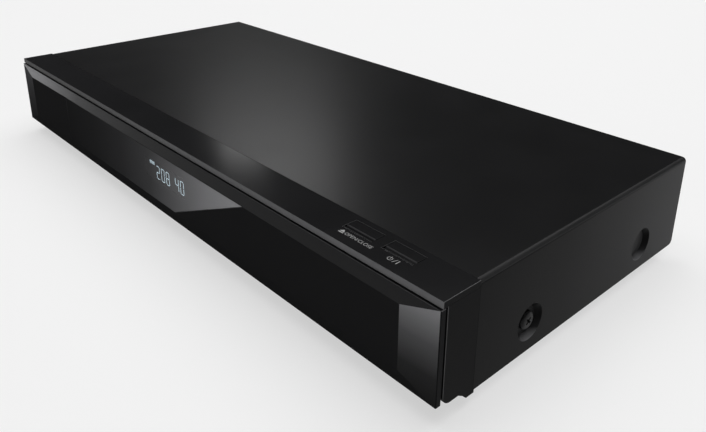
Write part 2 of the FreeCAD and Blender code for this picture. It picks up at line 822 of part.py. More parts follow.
def loading_belt():
    """Rubber belt in the grooves of both pulleys."""
    px, py = pulley_place()
    mx, my = motor_place()

    def loop(big, small):
        lean = math.acos((big - small) / (mx - px))
        a = V(px + big * math.cos(lean), py + big * math.sin(lean), 0)
        b = V(mx + small * math.cos(lean), my + small * math.sin(lean), 0)
        c = V(mx + small, my, 0)
        d = V(b.x, my - (b.y - my), 0)
        e = V(a.x, py - (a.y - py), 0)
        f = V(px - big, py, 0)
        edges = [Part.makeLine(a, b), Part.Arc(b, c, d).toShape(), Part.makeLine(d, e),
                 Part.Arc(e, f, a).toShape()]
        return Part.Face(Part.Wire(edges)).extrude(V(0, 0, 1.4))

    belt = loop(13.1, 5.1).cut(loop(11.6, 3.6))
    belt.translate(V(0, 0, pulley_low() + 1.8))
    return belt


def clamp_bridge():
    """Bridge across the drive that holds the clamper over the disc."""
    x0, x1 = loader_x0, loader_x1
    y0, y1 = disc_y - bridge_depth / 2, disc_y + bridge_depth / 2
    plate = box(x0, x1, y0, y1, bridge_low, bridge_low + bridge_thick)
    left = box(x0, x0 + loader_wall, y0, y1, loader_top, bridge_low)
    right = box(x1 - loader_wall, x1, y0, y1, loader_top, bridge_low)
    return join(plate, left, right).cut(rod(tray_middle, disc_y, bridge_low - 1, 12.0, 4))


def clamper():
    """Round clamp that hangs in the bridge by its upper rim."""
    low = hub_height + small_gap
    top = bridge_low + bridge_thick + small_gap
    lower = rod(tray_middle, disc_y, low, 15.0, bridge_low - small_gap - low)
    neck = rod(tray_middle, disc_y, bridge_low - small_gap, 11.0, top - bridge_low + small_gap)
    upper = rod(tray_middle, disc_y, top, 14.0, 1.2)
    return join(lower, neck, upper).cut(rod(tray_middle, disc_y, top + 0.2, 9.0, 2))


def lowered(shape):
    """Turns a shape from the raised place of the traverse to its place at rest."""
    turned = shape.copy()
    turned.rotate(V(0, traverse_hinge_y, traverse_hinge_height), V(1, 0, 0), lift_angle)
    return turned


def sled_front():
    return disc_y + 16.6


rod_height = traverse_low - 3.0
rod_left = tray_middle - 22.0
rod_right = tray_middle + 22.0
screw_x = rod_left - 7.0


def traverse_frame():
    """Hinged sub-frame: plate with the pickup's window, posts for the rods and trunnions at the rear."""
    x0, x1 = tray_middle - traverse_width / 2, tray_middle + traverse_width / 2
    low, high = traverse_low, traverse_low + traverse_thick
    rear = traverse_hinge_y + 3
    plate = box(x0, x1, traverse_front, rear, low, high)
    window = box(tray_middle - 26.5, tray_middle + 26.5, disc_y + 15.6, traverse_hinge_y - 5, low - 1,
                 high + 1)
    screw_room = box(screw_x - 3.5, tray_middle, disc_y + 15.6, traverse_hinge_y - 5, low - 1, high + 1)
    plate = plate.cut([window, screw_room])
    parts = []
    for y in (disc_y + 12.6, traverse_hinge_y - 4.5):
        parts.append(box(rod_left - 3, rod_left + 3, y, y + 3, rod_height - 3, low + 0.5))
        parts.append(box(rod_right - 3, rod_right + 3, y, y + 3, rod_height - 3, low + 0.5))
        parts.append(box(screw_x - 3, screw_x + 3, y, y + 3, rod_height - 3, low + 0.5))
    frame = join(plate, *parts)
    trunnion = rod(x0 - 5, traverse_hinge_y, traverse_hinge_height, 2.0, traverse_width + 10, (1, 0, 0))
    boss = box(x0, x1, traverse_hinge_y - 3, rear, low - 3, low + 0.5)
    frame = join(frame, boss, trunnion)
    y0 = disc_y + 12.0
    length = traverse_hinge_y - y0
    holes = [rod(x, y0, rod_height, 1.5 + touch_fit, length, (0, 1, 0)) for x in (rod_left, rod_right)]
    holes.append(rod(screw_x, y0 - 20, rod_height, 1.3 + running_fit, length + 20, (0, 1, 0)))
    holes.append(rod(tray_middle, disc_y, low - 1, 3.0, traverse_thick + 2))
    return lowered(frame.cut(holes))


def guide_rods():
    y0 = disc_y + 12.6
    length = traverse_hinge_y - 3.1 - y0
    made = [rod(x, y0, rod_height, 1.5, length, (0, 1, 0)) for x in (rod_left, rod_right)]
    return lowered(Part.makeCompound(made))


def spindle_motor():
    """Flat motor under the traverse plate with its shaft through it."""
    low = traverse_low
    can = rod(tray_middle, disc_y, low - 7, 12.5, 7.0)
    return lowered(join(can, rod(tray_middle, disc_y, low, 1.25, seat_height - low - 1.4)))


def turntable():
    """Disc table: seat ring and the centring hub."""
    seat = rod(tray_middle, disc_y, seat_height - 3.4, 15.0, 3.4)
    hub = Part.makeCone(7.3, 5.8, hub_height - seat_height, V(tray_middle, disc_y, seat_height), V(0, 0, 1))
    skirt = rod(tray_middle, disc_y, seat_height - 6.4, 9.0, 3.0)
    bore = rod(tray_middle, disc_y, seat_height - 7, 1.25 + touch_fit + 0.03, 5.8)
    return lowered(join(seat, hub, skirt).cut(bore))


def pickup_sled():
    """Carriage on the two rods, with a nut on the lead screw."""
    y0 = sled_front()
    body = box(tray_middle - 25.5, tray_middle + 25.5, y0, y0 + 24, rod_height - 3, rod_height + 5.5)
    nut = box(screw_x - 2.8, tray_middle - 24, y0 + 4, y0 + 14, rod_height - 2.5, rod_height + 2.5)
    head = box(tray_middle - 10, tray_middle + 10, y0 + 1, y0 + 18, rod_height + 5, rod_height + 8.6)
    sled = join(body, nut, head)
    holes = [rod(x, y0 - 1, rod_height, 1.5 + running_fit, 26, (0, 1, 0)) for x in (rod_left, rod_right)]
    holes.append(rod(screw_x, y0, rod_height, 1.3 + running_fit, 20, (0, 1, 0)))
    holes.append(rod(tray_middle, y0 + 8, rod_height + 6.6, 3.4, 5))
    return lowered(sled.cut(holes))


def pickup_lens():
    y0 = sled_front()
    low = rod_height + 6.6
    barrel = rod(tray_middle, y0 + 8, low, 3.4 - touch_fit, 3.4)
    ball = Part.makeSphere(4.2, V(tray_middle, y0 + 8, low + 0.6))
    dome = ball.common(rod(tray_middle, y0 + 8, low + 3.3, 2.6, 3))
    return lowered(join(barrel, dome))


def sled_lead_screw():
    """Fine screw that moves the pickup."""
    y0 = disc_y + 2.0
    y1 = traverse_hinge_y - 2.0
    core = rod(screw_x, y0, rod_height, 1.3, y1 - y0, (0, 1, 0))
    groove_at = grid(sled_front() + 0.5, 1.5, int((traverse_hinge_y - 6 - sled_front()) / 1.5))
    rings = [tube(screw_x, y, rod_height, 1.6, 1.1, 0.5, (0, 1, 0)) for y in groove_at]
    return lowered(core.cut(rings))


def sled_motor():
    """Small stepping motor at the front end of the lead screw."""
    y1 = disc_y + 12.4
    can = rod(screw_x, disc_y - 6, rod_height - 2.2, 5.0, 18.4, (0, 1, 0))
    can = can.cut(rod(screw_x, disc_y + 1.6, rod_height, 1.3 + running_fit, y1 - disc_y, (0, 1, 0)))
    return lowered(can)


# Hard drive
drive_length = 147.0
drive_share = 22.0 / 65.0
drive_x0 = loader_x1 + (power_x0 - loader_x1 - drive_length) * drive_share
drive_depth = 101.6
drive_thick = 24.0
drive_low = 13.0
drive_y0 = seam + 5.0


def drive_bracket():
    """Folded bracket that lifts the hard drive off the pan."""
    x0, x1 = drive_x0 - 3, drive_x0 + drive_length + 3
    y0, y1 = drive_y0 + 8, drive_y0 + drive_depth - 8
    plate = box(x0, x1, y0, y1, drive_low - 2.6, drive_low - 1.6)
    plate = plate.cut(box(x0 + 24, x1 - 24, y0 + 16, y1 - 16, 0, 20))
    feet_made = []
    for x in (x0, x1 - 12):
        for y in (y0, y1 - 12):
            feet_made.append(box(x, x + 12, y, y + 12, pan_top, drive_low - 2.2))
    sides = [box(x0, x0 + 1, y0, y1, drive_low - 2, drive_low + 12),
             box(x1 - 1, x1, y0, y1, drive_low - 2, drive_low + 12)]
    holes = []
    for x in (x0 - 1, x1 - 2):
        for y in drive_screw_places():
            holes.append(rod(x, y, drive_low + 6.3, screw_radius + touch_fit, 3, (1, 0, 0)))
    return join(plate, *(feet_made + sides)).cut(holes)


def drive_screw_places():
    return (drive_y0 + 24, drive_y0 + drive_depth - 24)


def hard_drive_case():
    """Sealed drive: cast base, stepped lid and pivot bosses."""
    x0, x1 = drive_x0, drive_x0 + drive_length
    y0, y1 = drive_y0, drive_y0 + drive_depth
    base = box(x0, x1, y0, y1, drive_low, drive_low + drive_thick - 3)
    upright = [e for e in base.Edges if abs(e.CenterOfMass.z - (drive_low + drive_thick / 2 - 1.5)) < 0.1]
    base = base.makeFillet(3, upright)
    lid = box(x0 + 4, x1 - 4, y0 + 4, y1 - 4, drive_low + drive_thick - 3, drive_low + drive_thick - 1.4)
    hub = rod(x0 + 60, (y0 + y1) / 2, drive_low + drive_thick - 1.4, 15, 1.4)
    case = join(base, lid, hub)
    well = box(x0 + 6, x1 - 30, y0 + 6, y1 - 6, drive_low - 1, drive_low + 2.2)
    holes = []
    for x, way in ((x0, 1), (x1, -1)):
        for y in drive_screw_places():
            holes.append(rod(x, y, drive_low + 6.3, screw_radius + touch_fit, 6, (way, 0, 0)))
    return case.cut([well] + holes)


def hard_drive_board():
    x0, x1 = drive_x0 + 7, drive_x0 + drive_length - 31
    return box(x0, x1, drive_y0 + 7, drive_y0 + drive_depth - 7, drive_low + 0.6, drive_low + 2.2)


# Electronics
main_y0 = drive_y0 + drive_depth + 6.0
power_y0 = bezel_in + 64.0
tuner_width = 22.0
tuner_depth = 34.0
tuner_height = 36.0
sink_width = 36.0
sink_depth = 22.0
sink_base = 2.2
sink_height = 14.0
sink_fins = 9
fin_thick = 1.2
chip_side = 20.0
chip_thick = 2.2
core_width = 28.0
core_depth = 24.0
core_height = 20.0
tape_width = 16.0
tape_depth = 29.0
tape_height = 12.0
reservoir_radius = 9.0
reservoir_height = 30.0
small_can_radius = 4.0
small_can_height = 16.0
small_can_pitch = 12.0


def board_with_posts(x0, x1, y0, y1, inset=5.0):
    board = box(x0, x1, y0, y1, board_height, board_top)
    places = [(x, y) for x in (x0 + inset, x1 - inset) for y in (y0 + inset, y1 - inset)]
    posts = [rod(x, y, pan_top, 3.0, board_height - pan_top) for x, y in places]
    return join(board, *posts).cut([rod(x, y, pan_top + 1, 1.3 + touch_fit, 10) for x, y in places]), places


def main_board():
    return board_with_posts(main_x0, main_x1, main_y0, panel_in - 0.4)[0]


def power_board():
    return board_with_posts(power_x0, power_x1, power_y0, panel_in - 0.4)[0]


def board_screws():
    """Round-head screws of both boards and of the readout's board."""
    made = []
    for x, y in (board_with_posts(main_x0, main_x1, main_y0, panel_in - 0.4)[1]
                 + board_with_posts(power_x0, power_x1, power_y0, panel_in - 0.4)[1]):
        made.append(rod(x, y, board_top, 2.6, 1.5).fuse(rod(x, y, board_top - 5, 1.3, 5)).removeSplitter())
    y = readout_board_y() + board_thick
    for x, z in readout_screw_places():
        made.append(rod(x, y, z, 2.0, 1.3, (0, 1, 0)).fuse(rod(x, y, z, 1.0, 5, (0, -1, 0))).removeSplitter())
    for x, way in ((drive_x0 - 3, 1), (drive_x0 + drive_length + 3, -1)):
        for y in drive_screw_places():
            head = rod(x, y, drive_low + 6.3, 3.0, 1.4, (-way, 0, 0))
            made.append(head.fuse(rod(x, y, drive_low + 6.3, screw_radius, 7, (way, 0, 0))).removeSplitter())
    return Part.makeCompound(made)


def heatsink():
    """Finned block on the main processor."""
    x0, y0 = main_x1 - 92, main_y0 + 6
    low = board_top + chip_thick
    base = box(x0, x0 + sink_width, y0, y0 + sink_depth, low, low + sink_base)
    chip_x = x0 + (sink_width - chip_side) / 2
    chip_y = y0 + (sink_depth - chip_side) / 2
    chip = box(chip_x, chip_x + chip_side, chip_y, chip_y + chip_side, board_top, low)
    pitch = (sink_width - fin_thick) / (sink_fins - 1)
    fins = [box(x, x + fin_thick, y0, y0 + sink_depth, low + sink_base - 0.4, board_top + sink_height)
            for x in grid(x0, pitch, sink_fins)]
    return join(base, chip, *fins)


def tuner_module():
    y1 = panel_in - 0.1
    x0, x1 = tuner_x - tuner_width / 2, tuner_x + tuner_width / 2
    return box(x0, x1, y1 - tuner_depth, y1, board_top, board_top + tuner_height)


def antenna_sockets():
    """Two threaded aerial sockets, flush with the cover's rear edge."""
    made = []
    for z in antenna_heights():
        y0 = panel_in - 0.1
        nut = prism_y([(tuner_x + 5.9 * math.cos(math.radians(a)), z + 5.9 * math.sin(math.radians(a)))
                       for a in range(0, 360, 60)], y0, y0 + 2.6)
        barrel = rod(tuner_x, y0, z, 4.7, cover_rear - y0, (0, 1, 0))
        rings = [tube(tuner_x, y, z, 5.2, 4.35, 0.5, (0, 1, 0)) for y in grid(y0 + 3.2, 1.1, 4)]
        bore = rod(tuner_x, y0 + 2, z, 3.4, 12, (0, 1, 0))
        made.append(join(nut, barrel).cut(rings + [bore]))
    return Part.makeCompound(made)


def hdmi_sockets():
    made = []
    for x in hdmi_places:
        can = socket_can(x, panel_out + socket_out, panel_out - 12, board_top, hdmi_width, hdmi_height, 9.0)
        tongue = box(x - 5.5, x + 5.5, panel_out - 8.6, panel_out - 2, board_top + 2.6, board_top + 3.6)
        made.append(join(can, tongue))
    return Part.makeCompound(made)


def network_socket():
    w = network_width / 2
    body = box(network_x - w, network_x + w, panel_out - 20, panel_out + socket_out, board_top,
               board_top + network_height)
    mouth = box(network_x - 6, network_x + 6, panel_out - 12, panel_out + 2, board_top + 2.4,
                board_top + 10.5)
    notch = box(network_x - 3, network_x + 3, panel_out - 12, panel_out + 2, board_top + 1, board_top + 3)
    return body.cut([mouth, notch])


def rear_usb_socket():
    can = socket_can(rear_usb_x, panel_out + socket_out, panel_out - 14, board_top, usb_width, usb_height,
                     usb_deep)
    return join(can, usb_tongue(rear_usb_x, panel_out - 11.6, panel_out - 2, board_top))


def optical_socket():
    w = optical_side / 2
    body = box(optical_x - w, optical_x + w, panel_out - 12, panel_out + socket_out, board_top,
               board_top + optical_side)
    mouth = box(optical_x - 3.6, optical_x + 3.6, panel_out - 7, panel_out + 2, board_top + 1.8,
                board_top + 8.2)
    return body.cut(mouth)


def audio_sockets():
    """Round jack for the coaxial sound output."""
    z = board_top + 7
    block = box(audio_x - 5, audio_x + 5, panel_in - 11, panel_in - 0.1, board_top, board_top + 13)
    barrel = rod(audio_x, panel_in - 0.1, z, 4.1, panel_recess + 0.6, (0, 1, 0))
    hollow = rod(audio_x, panel_in - 5, z, 3.3, 20, (0, 1, 0))
    pin = tube(audio_x, panel_in - 5.1, z, 1.7, 0.8, 11.5, (0, 1, 0))
    return join(join(block, barrel).cut(hollow), pin)


def mains_inlet():
    """Two-pole inlet with its rounded well and two pins."""
    z = board_top
    w = inlet_width / 2
    body = box(inlet_x - w, inlet_x + w, panel_out - 16, panel_out + 1.0, z, z + inlet_height)
    mouth = join(rod(inlet_x - 3.5, panel_out - 11, z + 8.5, 4.6, 14, (0, 1, 0)),
                 rod(inlet_x + 3.5, panel_out - 11, z + 8.5, 4.6, 14, (0, 1, 0)),
                 box(inlet_x - 3.5, inlet_x + 3.5, panel_out - 11, panel_out + 3, z + 3.9, z + 13.1))
    pins = [rod(inlet_x + s * 4.3, panel_out - 11.5, z + 8.5, 1.2, 9.5, (0, 1, 0)) for s in (-1, 1)]
    return join(body.cut(mouth), *pins)


def power_transformer():
    x, y = (power_x0 + power_x1) / 2 + 4, power_y0 + 62
    w, d, t = core_width / 2, core_depth / 2, tape_width / 2
    core = box(x - w, x + w, y - d, y + d, board_top, board_top + core_height)
    rooms = [box(*sorted((x + side * t, x + side * (w + 1))), y - d - 1, y + d + 1, board_top + 5,
                 board_top + 15)
             for side in (-1, 1)]
    tape = box(x - t, x + t, y - tape_depth / 2, y + tape_depth / 2, board_top + 4,
               board_top + 4 + tape_height)
    return join(core.cut(rooms), tape)


def power_capacitors():
    """Reservoir capacitor and three smaller ones."""
    x, y = power_x0 + 14, power_y0 + 22
    made = [rod(x, y, board_top, reservoir_radius, reservoir_height)]
    for x in grid(power_x0 + 9, small_can_pitch, 3):
        made.append(rod(x, power_y0 + 42, board_top, small_can_radius, small_can_height))
    return Part.makeCompound(made)


def fan_frame():
    """Square frame with the round duct, the motor's holder on three struts."""
    y1 = panel_in - 0.05
    y0 = y1 - fan_depth
    s = fan_size / 2
    frame = box(fan_x - s, fan_x + s, y0, y1, fan_middle - s, fan_middle + s)
    frame = frame.cut(rod(fan_x, y0 - 1, fan_middle, s - 1.2, fan_depth + 2, (0, 1, 0)))
    for x in (4 - s, s - 4):
        for z in (4 - s, s - 4):
            frame = frame.cut(rod(fan_x + x, y0 - 1, fan_middle + z, 1.7, fan_depth + 2, (0, 1, 0)))
    holder = rod(fan_x, y1 - 1.6, fan_middle, 9.0, 1.6, (0, 1, 0))
    struts = []
    for k in range(3):
        strut = box(-1.2, 1.2, 0, 1.6, 8, s - 0.8)
        strut.rotate(V(0, 0, 0), V(0, 1, 0), 120 * k + 30)
        strut.translate(V(fan_x, y1 - 1.6, fan_middle))
        struts.append(strut)
    shaft = rod(fan_x, y0 + 2.4, fan_middle, 1.0, fan_depth - 3.9, (0, 1, 0))
    post = tube(fan_x, y0 + 5, fan_middle, 6.0, 4.0, fan_depth - 6.5, (0, 1, 0))
    return join(frame, holder, shaft, post, *struts)


def fan_rotor():
    """Hub cup with seven pitched blades."""
    y1 = panel_in - 0.05
    y0 = y1 - fan_depth + 0.6
    cup = rod(fan_x, y0, fan_middle, 9.0, 7.2, (0, 1, 0))
    cup = cup.cut(rod(fan_x, y0 + 4.0, fan_middle, 7.6, 6, (0, 1, 0)))
    blades = []
    for k in range(7):
        blade = box(-0.5, 0.5, -4.2, 4.2, 8.2, fan_size / 2 - 2.4)
        blade.rotate(V(0, 0, 12), V(0, 0, 1), 42)
        blade.translate(V(0, 3.6, 0))
        blade.rotate(V(0, 0, 0), V(0, 1, 0), 360.0 * k / 7)
        blade.translate(V(fan_x, y0, fan_middle))
        blades.append(blade)
    rotor = join(cup, *blades)
    return rotor.cut(rod(fan_x, y0 + 1.6, fan_middle, 1.0 + running_fit, 10, (0, 1, 0)))


def drive_ribbon_cable():
    """Flat cable from the drive's rear wall over to the main board."""
    x0 = loader_x1
    z0, z1 = board_top, board_top + 10
    y0, y1 = main_y0 + 8, main_y0 + 28
    flat = box(x0, x0 + 4, y0, y1, z1 - 0.4, z1)
    down = box(x0 + 3.6, x0 + 4, y0, y1, z0 + 0.6, z1)
    run = box(x0 + 3.6, main_x0 + 3, y0, y1, z0, z0 + 0.6)
    return join(flat, down, run)


os.makedirs("parts", exist_ok=True)
pieces = [top_cover, side_screws, bottom_chassis, rear_panel, rear_screws, feet, front_bezel, front_inserts,
          control_strip, switch_board, tact_switches, front_flap, display_window, flap_hinge_pins,
          flap_springs, display_module, display_board, front_io_board, front_usb_socket, sd_card_slot,
          ci_slots, disc_tray, loader_frame, tray_drive_gear, loading_pulley, loading_motor,
          motor_pulley, loading_belt, clamp_bridge, clamper, traverse_frame, guide_rods, spindle_motor,
          turntable, pickup_sled, pickup_lens, sled_lead_screw, sled_motor, drive_bracket,
          hard_drive_case, hard_drive_board, main_board, power_board, board_screws, heatsink,
          tuner_module, antenna_sockets, hdmi_sockets, network_socket, rear_usb_socket, optical_socket,
          audio_sockets, mains_inlet, power_transformer, power_capacitors, fan_frame, fan_rotor,
          drive_ribbon_cable]
for piece in pieces:
    save(piece.__name__, piece())
save("open_close_button", button(open_button_x))
save("power_button", button(power_button_x))
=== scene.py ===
# %% [markdown]
# # Dressing a slim black disc recorder
# The construction of the recorder is already fixed: its sheet metal, its mouldings, the disc drive and the
# sockets have their true sizes and places. This lesson loads that frame and gives it its looks: satin black
# paint, polished black plastic, a smoked window with lit figures, plated sockets and the marks of real
# edges. Everything is in metres, so sizes are written in millimetres and multiplied by `mm`.

# %% Load the frame
import json
import math

import bmesh
import bpy
from mathutils import Matrix, Vector


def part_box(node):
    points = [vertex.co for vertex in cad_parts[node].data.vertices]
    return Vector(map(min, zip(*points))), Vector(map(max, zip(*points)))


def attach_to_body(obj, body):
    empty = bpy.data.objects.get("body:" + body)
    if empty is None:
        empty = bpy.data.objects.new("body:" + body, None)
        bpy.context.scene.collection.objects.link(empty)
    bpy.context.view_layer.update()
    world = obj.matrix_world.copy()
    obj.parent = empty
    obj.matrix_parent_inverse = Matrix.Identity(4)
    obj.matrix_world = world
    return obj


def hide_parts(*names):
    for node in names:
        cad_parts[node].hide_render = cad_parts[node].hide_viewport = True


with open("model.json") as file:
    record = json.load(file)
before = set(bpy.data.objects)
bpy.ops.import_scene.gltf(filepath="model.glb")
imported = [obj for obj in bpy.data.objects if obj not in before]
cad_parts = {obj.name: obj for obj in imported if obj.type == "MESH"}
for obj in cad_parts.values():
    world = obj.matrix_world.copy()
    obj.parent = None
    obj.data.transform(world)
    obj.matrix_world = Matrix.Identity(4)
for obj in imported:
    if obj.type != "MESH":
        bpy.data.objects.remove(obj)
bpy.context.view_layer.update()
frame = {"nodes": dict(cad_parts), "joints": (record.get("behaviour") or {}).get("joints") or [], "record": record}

mm = 0.001
nodes = frame["nodes"]

# %% [markdown]
# ## The camera
# The photograph is a three-quarter view from above the right front corner, taken close to the object, so
# its lines converge strongly. The camera's place and angles come from solving for the corners of the box in
# the picture. A small vertical lens shift keeps the upright edges nearly parallel, as in a product
# photograph.

# %% Camera
picture_width = 706
camera_place = Vector((355.2, -271.4, 212.9)) * mm
camera_turn = math.radians(-47.58)
camera_dip = math.radians(20.46)
camera_roll = math.radians(0.43)
focal_pixels = 717.1
sensor = 36.0
lens_shift = -0.14


def aim_camera():
    flat = math.cos(camera_dip)
    ahead = Vector((math.sin(camera_turn) * flat, math.cos(camera_turn) * flat, -math.sin(camera_dip)))
    level = Vector((math.cos(camera_turn), -math.sin(camera_turn), 0))
    upright = level.cross(ahead)
    right = math.cos(camera_roll) * level + math.sin(camera_roll) * upright
    up = math.cos(camera_roll) * upright - math.sin(camera_roll) * level
    data = bpy.data.cameras.new("camera")
    data.sensor_width = sensor
    data.lens = focal_pixels / picture_width * sensor
    data.shift_y = lens_shift
    data.clip_start = 0.01
    camera = bpy.data.objects.new("camera", data)
    bpy.context.scene.collection.objects.link(camera)
    camera.matrix_world = Matrix((right, up, -ahead)).transposed().to_4x4()
    camera.location = camera_place
    bpy.context.scene.camera = camera
    print("camera looks", [round(v, 3) for v in ahead], "with a", round(data.lens, 1), "mm lens")


aim_camera()
bpy.context.scene.view_settings.view_transform = "Standard"

# %% [markdown]
# ## Floor, surroundings and lamps
# A black glossy thing shows mostly what stands around it, so the surroundings matter more than the amount
# of light. Three choices make the picture: a pale floor that its faces mirror, a room that is pale low down
# and dark above, so the top stays black, and two small soft panels low behind the left end, whose glow lies
# on the top in the photograph. A studio keeps such a panel off the rest with black flags, and here each is
# linked to one piece alone. A third, large lamp overhead lights the floor and the whole set evenly.

# %% Floor and room
floor_radius = 9.0
floor_grey = 0.90
room_low = 0.86
room_high = 0.035
room_fade = 0.11


def new_finish(name, color, roughness, metallic=0.0, specular=0.5):
    material = bpy.data.materials.new(name)
    material.use_nodes = True
    shader = material.node_tree.nodes["Principled BSDF"]
    shader.inputs["Base Color"].default_value = (*color, 1)
    shader.inputs["Roughness"].default_value = roughness
    shader.inputs["Metallic"].default_value = metallic
    shader.inputs["Specular IOR Level"].default_value = specular
    return material, material.node_tree, shader


def larger(tree, first, second):
    """The larger of two values in a node tree."""
    node = tree.nodes.new("ShaderNodeMath")
    node.operation = "MAXIMUM"
    tree.links.new(first, node.inputs[0])
    tree.links.new(second, node.inputs[1])
    return node.outputs["Value"]


def make_floor():
    bpy.ops.mesh.primitive_circle_add(vertices=96, radius=floor_radius, fill_type="NGON")
    floor = bpy.context.object
    floor.name = "studio_floor"
    material, tree, shader = new_finish("floor_paper", [floor_grey] * 3, 0.9, specular=0.1)
    pale_when_seen(tree, shader)
    floor.data.materials.append(material)


def seen_directly(tree):
    """1 for rays from the camera, off a mirror or through glass, and 0 for rays that light other things."""
    ray = tree.nodes.new("ShaderNodeLightPath").outputs
    direct = larger(tree, ray["Is Camera Ray"], ray["Is Glossy Ray"])
    return larger(tree, direct, ray["Is Transmission Ray"])


def pale_when_seen(tree, shader, own_shading=0.36, paper=0.925):
    """The floor looks like white paper but keeps a part of its own shading, so its shadow stays soft."""
    glow = tree.nodes.new("ShaderNodeEmission")
    glow.inputs["Color"].default_value = (paper, paper, paper, 1)
    share = tree.nodes.new("ShaderNodeMath")
    share.operation = "MULTIPLY"
    share.inputs[1].default_value = 1 - own_shading
    tree.links.new(seen_directly(tree), share.inputs[0])
    mix = tree.nodes.new("ShaderNodeMixShader")
    tree.links.new(share.outputs["Value"], mix.inputs["Fac"])
    tree.links.new(shader.outputs["BSDF"], mix.inputs[1])
    tree.links.new(glow.outputs["Emission"], mix.inputs[2])
    tree.links.new(mix.outputs["Shader"], tree.nodes["Material Output"].inputs["Surface"])


def make_room():
    world = bpy.data.worlds.new("room")
    bpy.context.scene.world = world
    world.use_nodes = True
    tree = world.node_tree
    background = tree.nodes["Background"]
    direction = tree.nodes.new("ShaderNodeTexCoord")
    split = tree.nodes.new("ShaderNodeSeparateXYZ")
    ramp = tree.nodes.new("ShaderNodeValToRGB")
    tree.links.new(direction.outputs["Generated"], split.inputs["Vector"])
    tree.links.new(split.outputs["Z"], ramp.inputs["Fac"])
    tree.links.new(ramp.outputs["Color"], background.inputs["Color"])
    ramp.color_ramp.elements[0].position = 0.0
    ramp.color_ramp.elements[0].color = (room_low, room_low, room_low, 1)
    ramp.color_ramp.elements[1].position = room_fade
    ramp.color_ramp.elements[1].color = (room_high, room_high, room_high + 0.001, 1)


make_floor()
make_room()
print("a floor of", floor_radius, "m radius in a room that is dark above")

# %% Lamps
top_centre = (0.04, -0.05, 0.059)
panel_distance = 1.6


def add_lamp(name, place, target, width, height, power):
    data = bpy.data.lights.new(name, "AREA")
    data.shape = "RECTANGLE"
    data.size = width
    data.size_y = height
    data.energy = power
    lamp = bpy.data.objects.new(name, data)
    bpy.context.scene.collection.objects.link(lamp)
    lamp.location = place
    lamp.rotation_euler = (Vector(target) - Vector(place)).to_track_quat("-Z", "Y").to_euler()
    return lamp


def add_panel(name, azimuth, height_angle, width, height, power):
    """A small panel that looks at the middle of the top from far off, at two angles in degrees."""
    a, e = math.radians(azimuth), math.radians(height_angle)
    towards = Vector((math.cos(a) * math.cos(e), math.sin(a) * math.cos(e), math.sin(e)))
    return add_lamp(name, Vector(top_centre) + panel_distance * towards, top_centre, width, height, power)


def light_only(lamp, piece):
    """Lets a lamp light one piece alone, as flags in a studio keep it off the rest."""
    lit = bpy.data.collections.new(lamp.name + "_lights")
    lit.objects.link(piece)
    lamp.light_linking.receiver_collection = lit


add_lamp("overhead", (-0.3, 0.5, 2.6), (0, 0, 0), 4.0, 4.0, 112)
strip_lamp = add_panel("low_panel", 147.5, 21.5, 0.12, 0.12, 0.20)
cover_lamp = add_panel("soft_panel", 144.8, 27.5, 0.34, 0.12, 1.75)
print("three lamps,", panel_distance, "m off for the two small ones")

# %% [markdown]
# ## Building materials
# Each finish is a small node tree on the Principled shader. Fine grain comes from a noise that feeds a
# bump, and wear or unevenness comes from a second, larger noise that changes the roughness a little.
# Coordinates are the object's own, in metres, so a grain of half a millimetre is a noise scale of about
# 2000.

# %% Material helpers
def own_coordinates(tree, stretch=(1, 1, 1)):
    place = tree.nodes.new("ShaderNodeTexCoord")
    mapping = tree.nodes.new("ShaderNodeMapping")
    mapping.inputs["Scale"].default_value = stretch
    tree.links.new(place.outputs["Object"], mapping.inputs["Vector"])
    return mapping.outputs["Vector"]


def noise(tree, vector, scale, detail=2.0):
    texture = tree.nodes.new("ShaderNodeTexNoise")
    texture.inputs["Scale"].default_value = scale
    texture.inputs["Detail"].default_value = detail
    tree.links.new(vector, texture.inputs["Vector"])
    return texture.outputs["Fac"]


def spread(tree, value, low, high, start=0.3, end=0.7):
    reach = tree.nodes.new("ShaderNodeMapRange")
    reach.inputs["From Min"].default_value = start
    reach.inputs["From Max"].default_value = end
    reach.inputs["To Min"].default_value = low
    reach.inputs["To Max"].default_value = high
    tree.links.new(value, reach.inputs["Value"])
    return reach.outputs["Result"]


def two_colors(tree, value, first, second):
    mix = tree.nodes.new("ShaderNodeMix")
    mix.data_type = "RGBA"
    mix.inputs["A"].default_value = (*first, 1)
    mix.inputs["B"].default_value = (*second, 1)
    tree.links.new(value, mix.inputs["Factor"])
    return mix.outputs["Result"]


def raise_grain(tree, shader, value, strength, depth):
    bump = tree.nodes.new("ShaderNodeBump")
    bump.inputs["Strength"].default_value = strength
    bump.inputs["Distance"].default_value = depth
    tree.links.new(value, bump.inputs["Height"])
    tree.links.new(bump.outputs["Normal"], shader.inputs["Normal"])


cloud_scale = 30.0
cloud_tint = 1.25


def grained_finish(name, color, roughness, grain, strength, metallic=0.0, specular=0.5, unevenness=0.05,
                   stretch=(1, 1, 1)):
    """A finish with a fine raised grain, a slightly uneven gloss and a faint change of colour."""
    material, tree, shader = new_finish(name, color, roughness, metallic, specular)
    vector = own_coordinates(tree, stretch)
    raise_grain(tree, shader, noise(tree, vector, grain), strength, 0.1 * mm)
    clouds = noise(tree, own_coordinates(tree), cloud_scale, 4.0)
    gloss = spread(tree, clouds, roughness - unevenness, roughness + unevenness)
    tree.links.new(gloss, shader.inputs["Roughness"])
    lighter = tuple(min(1, c * cloud_tint) for c in color)
    shade = two_colors(tree, spread(tree, clouds, 0, 1), color, lighter)
    tree.links.new(shade, shader.inputs["Base Color"])
    return material


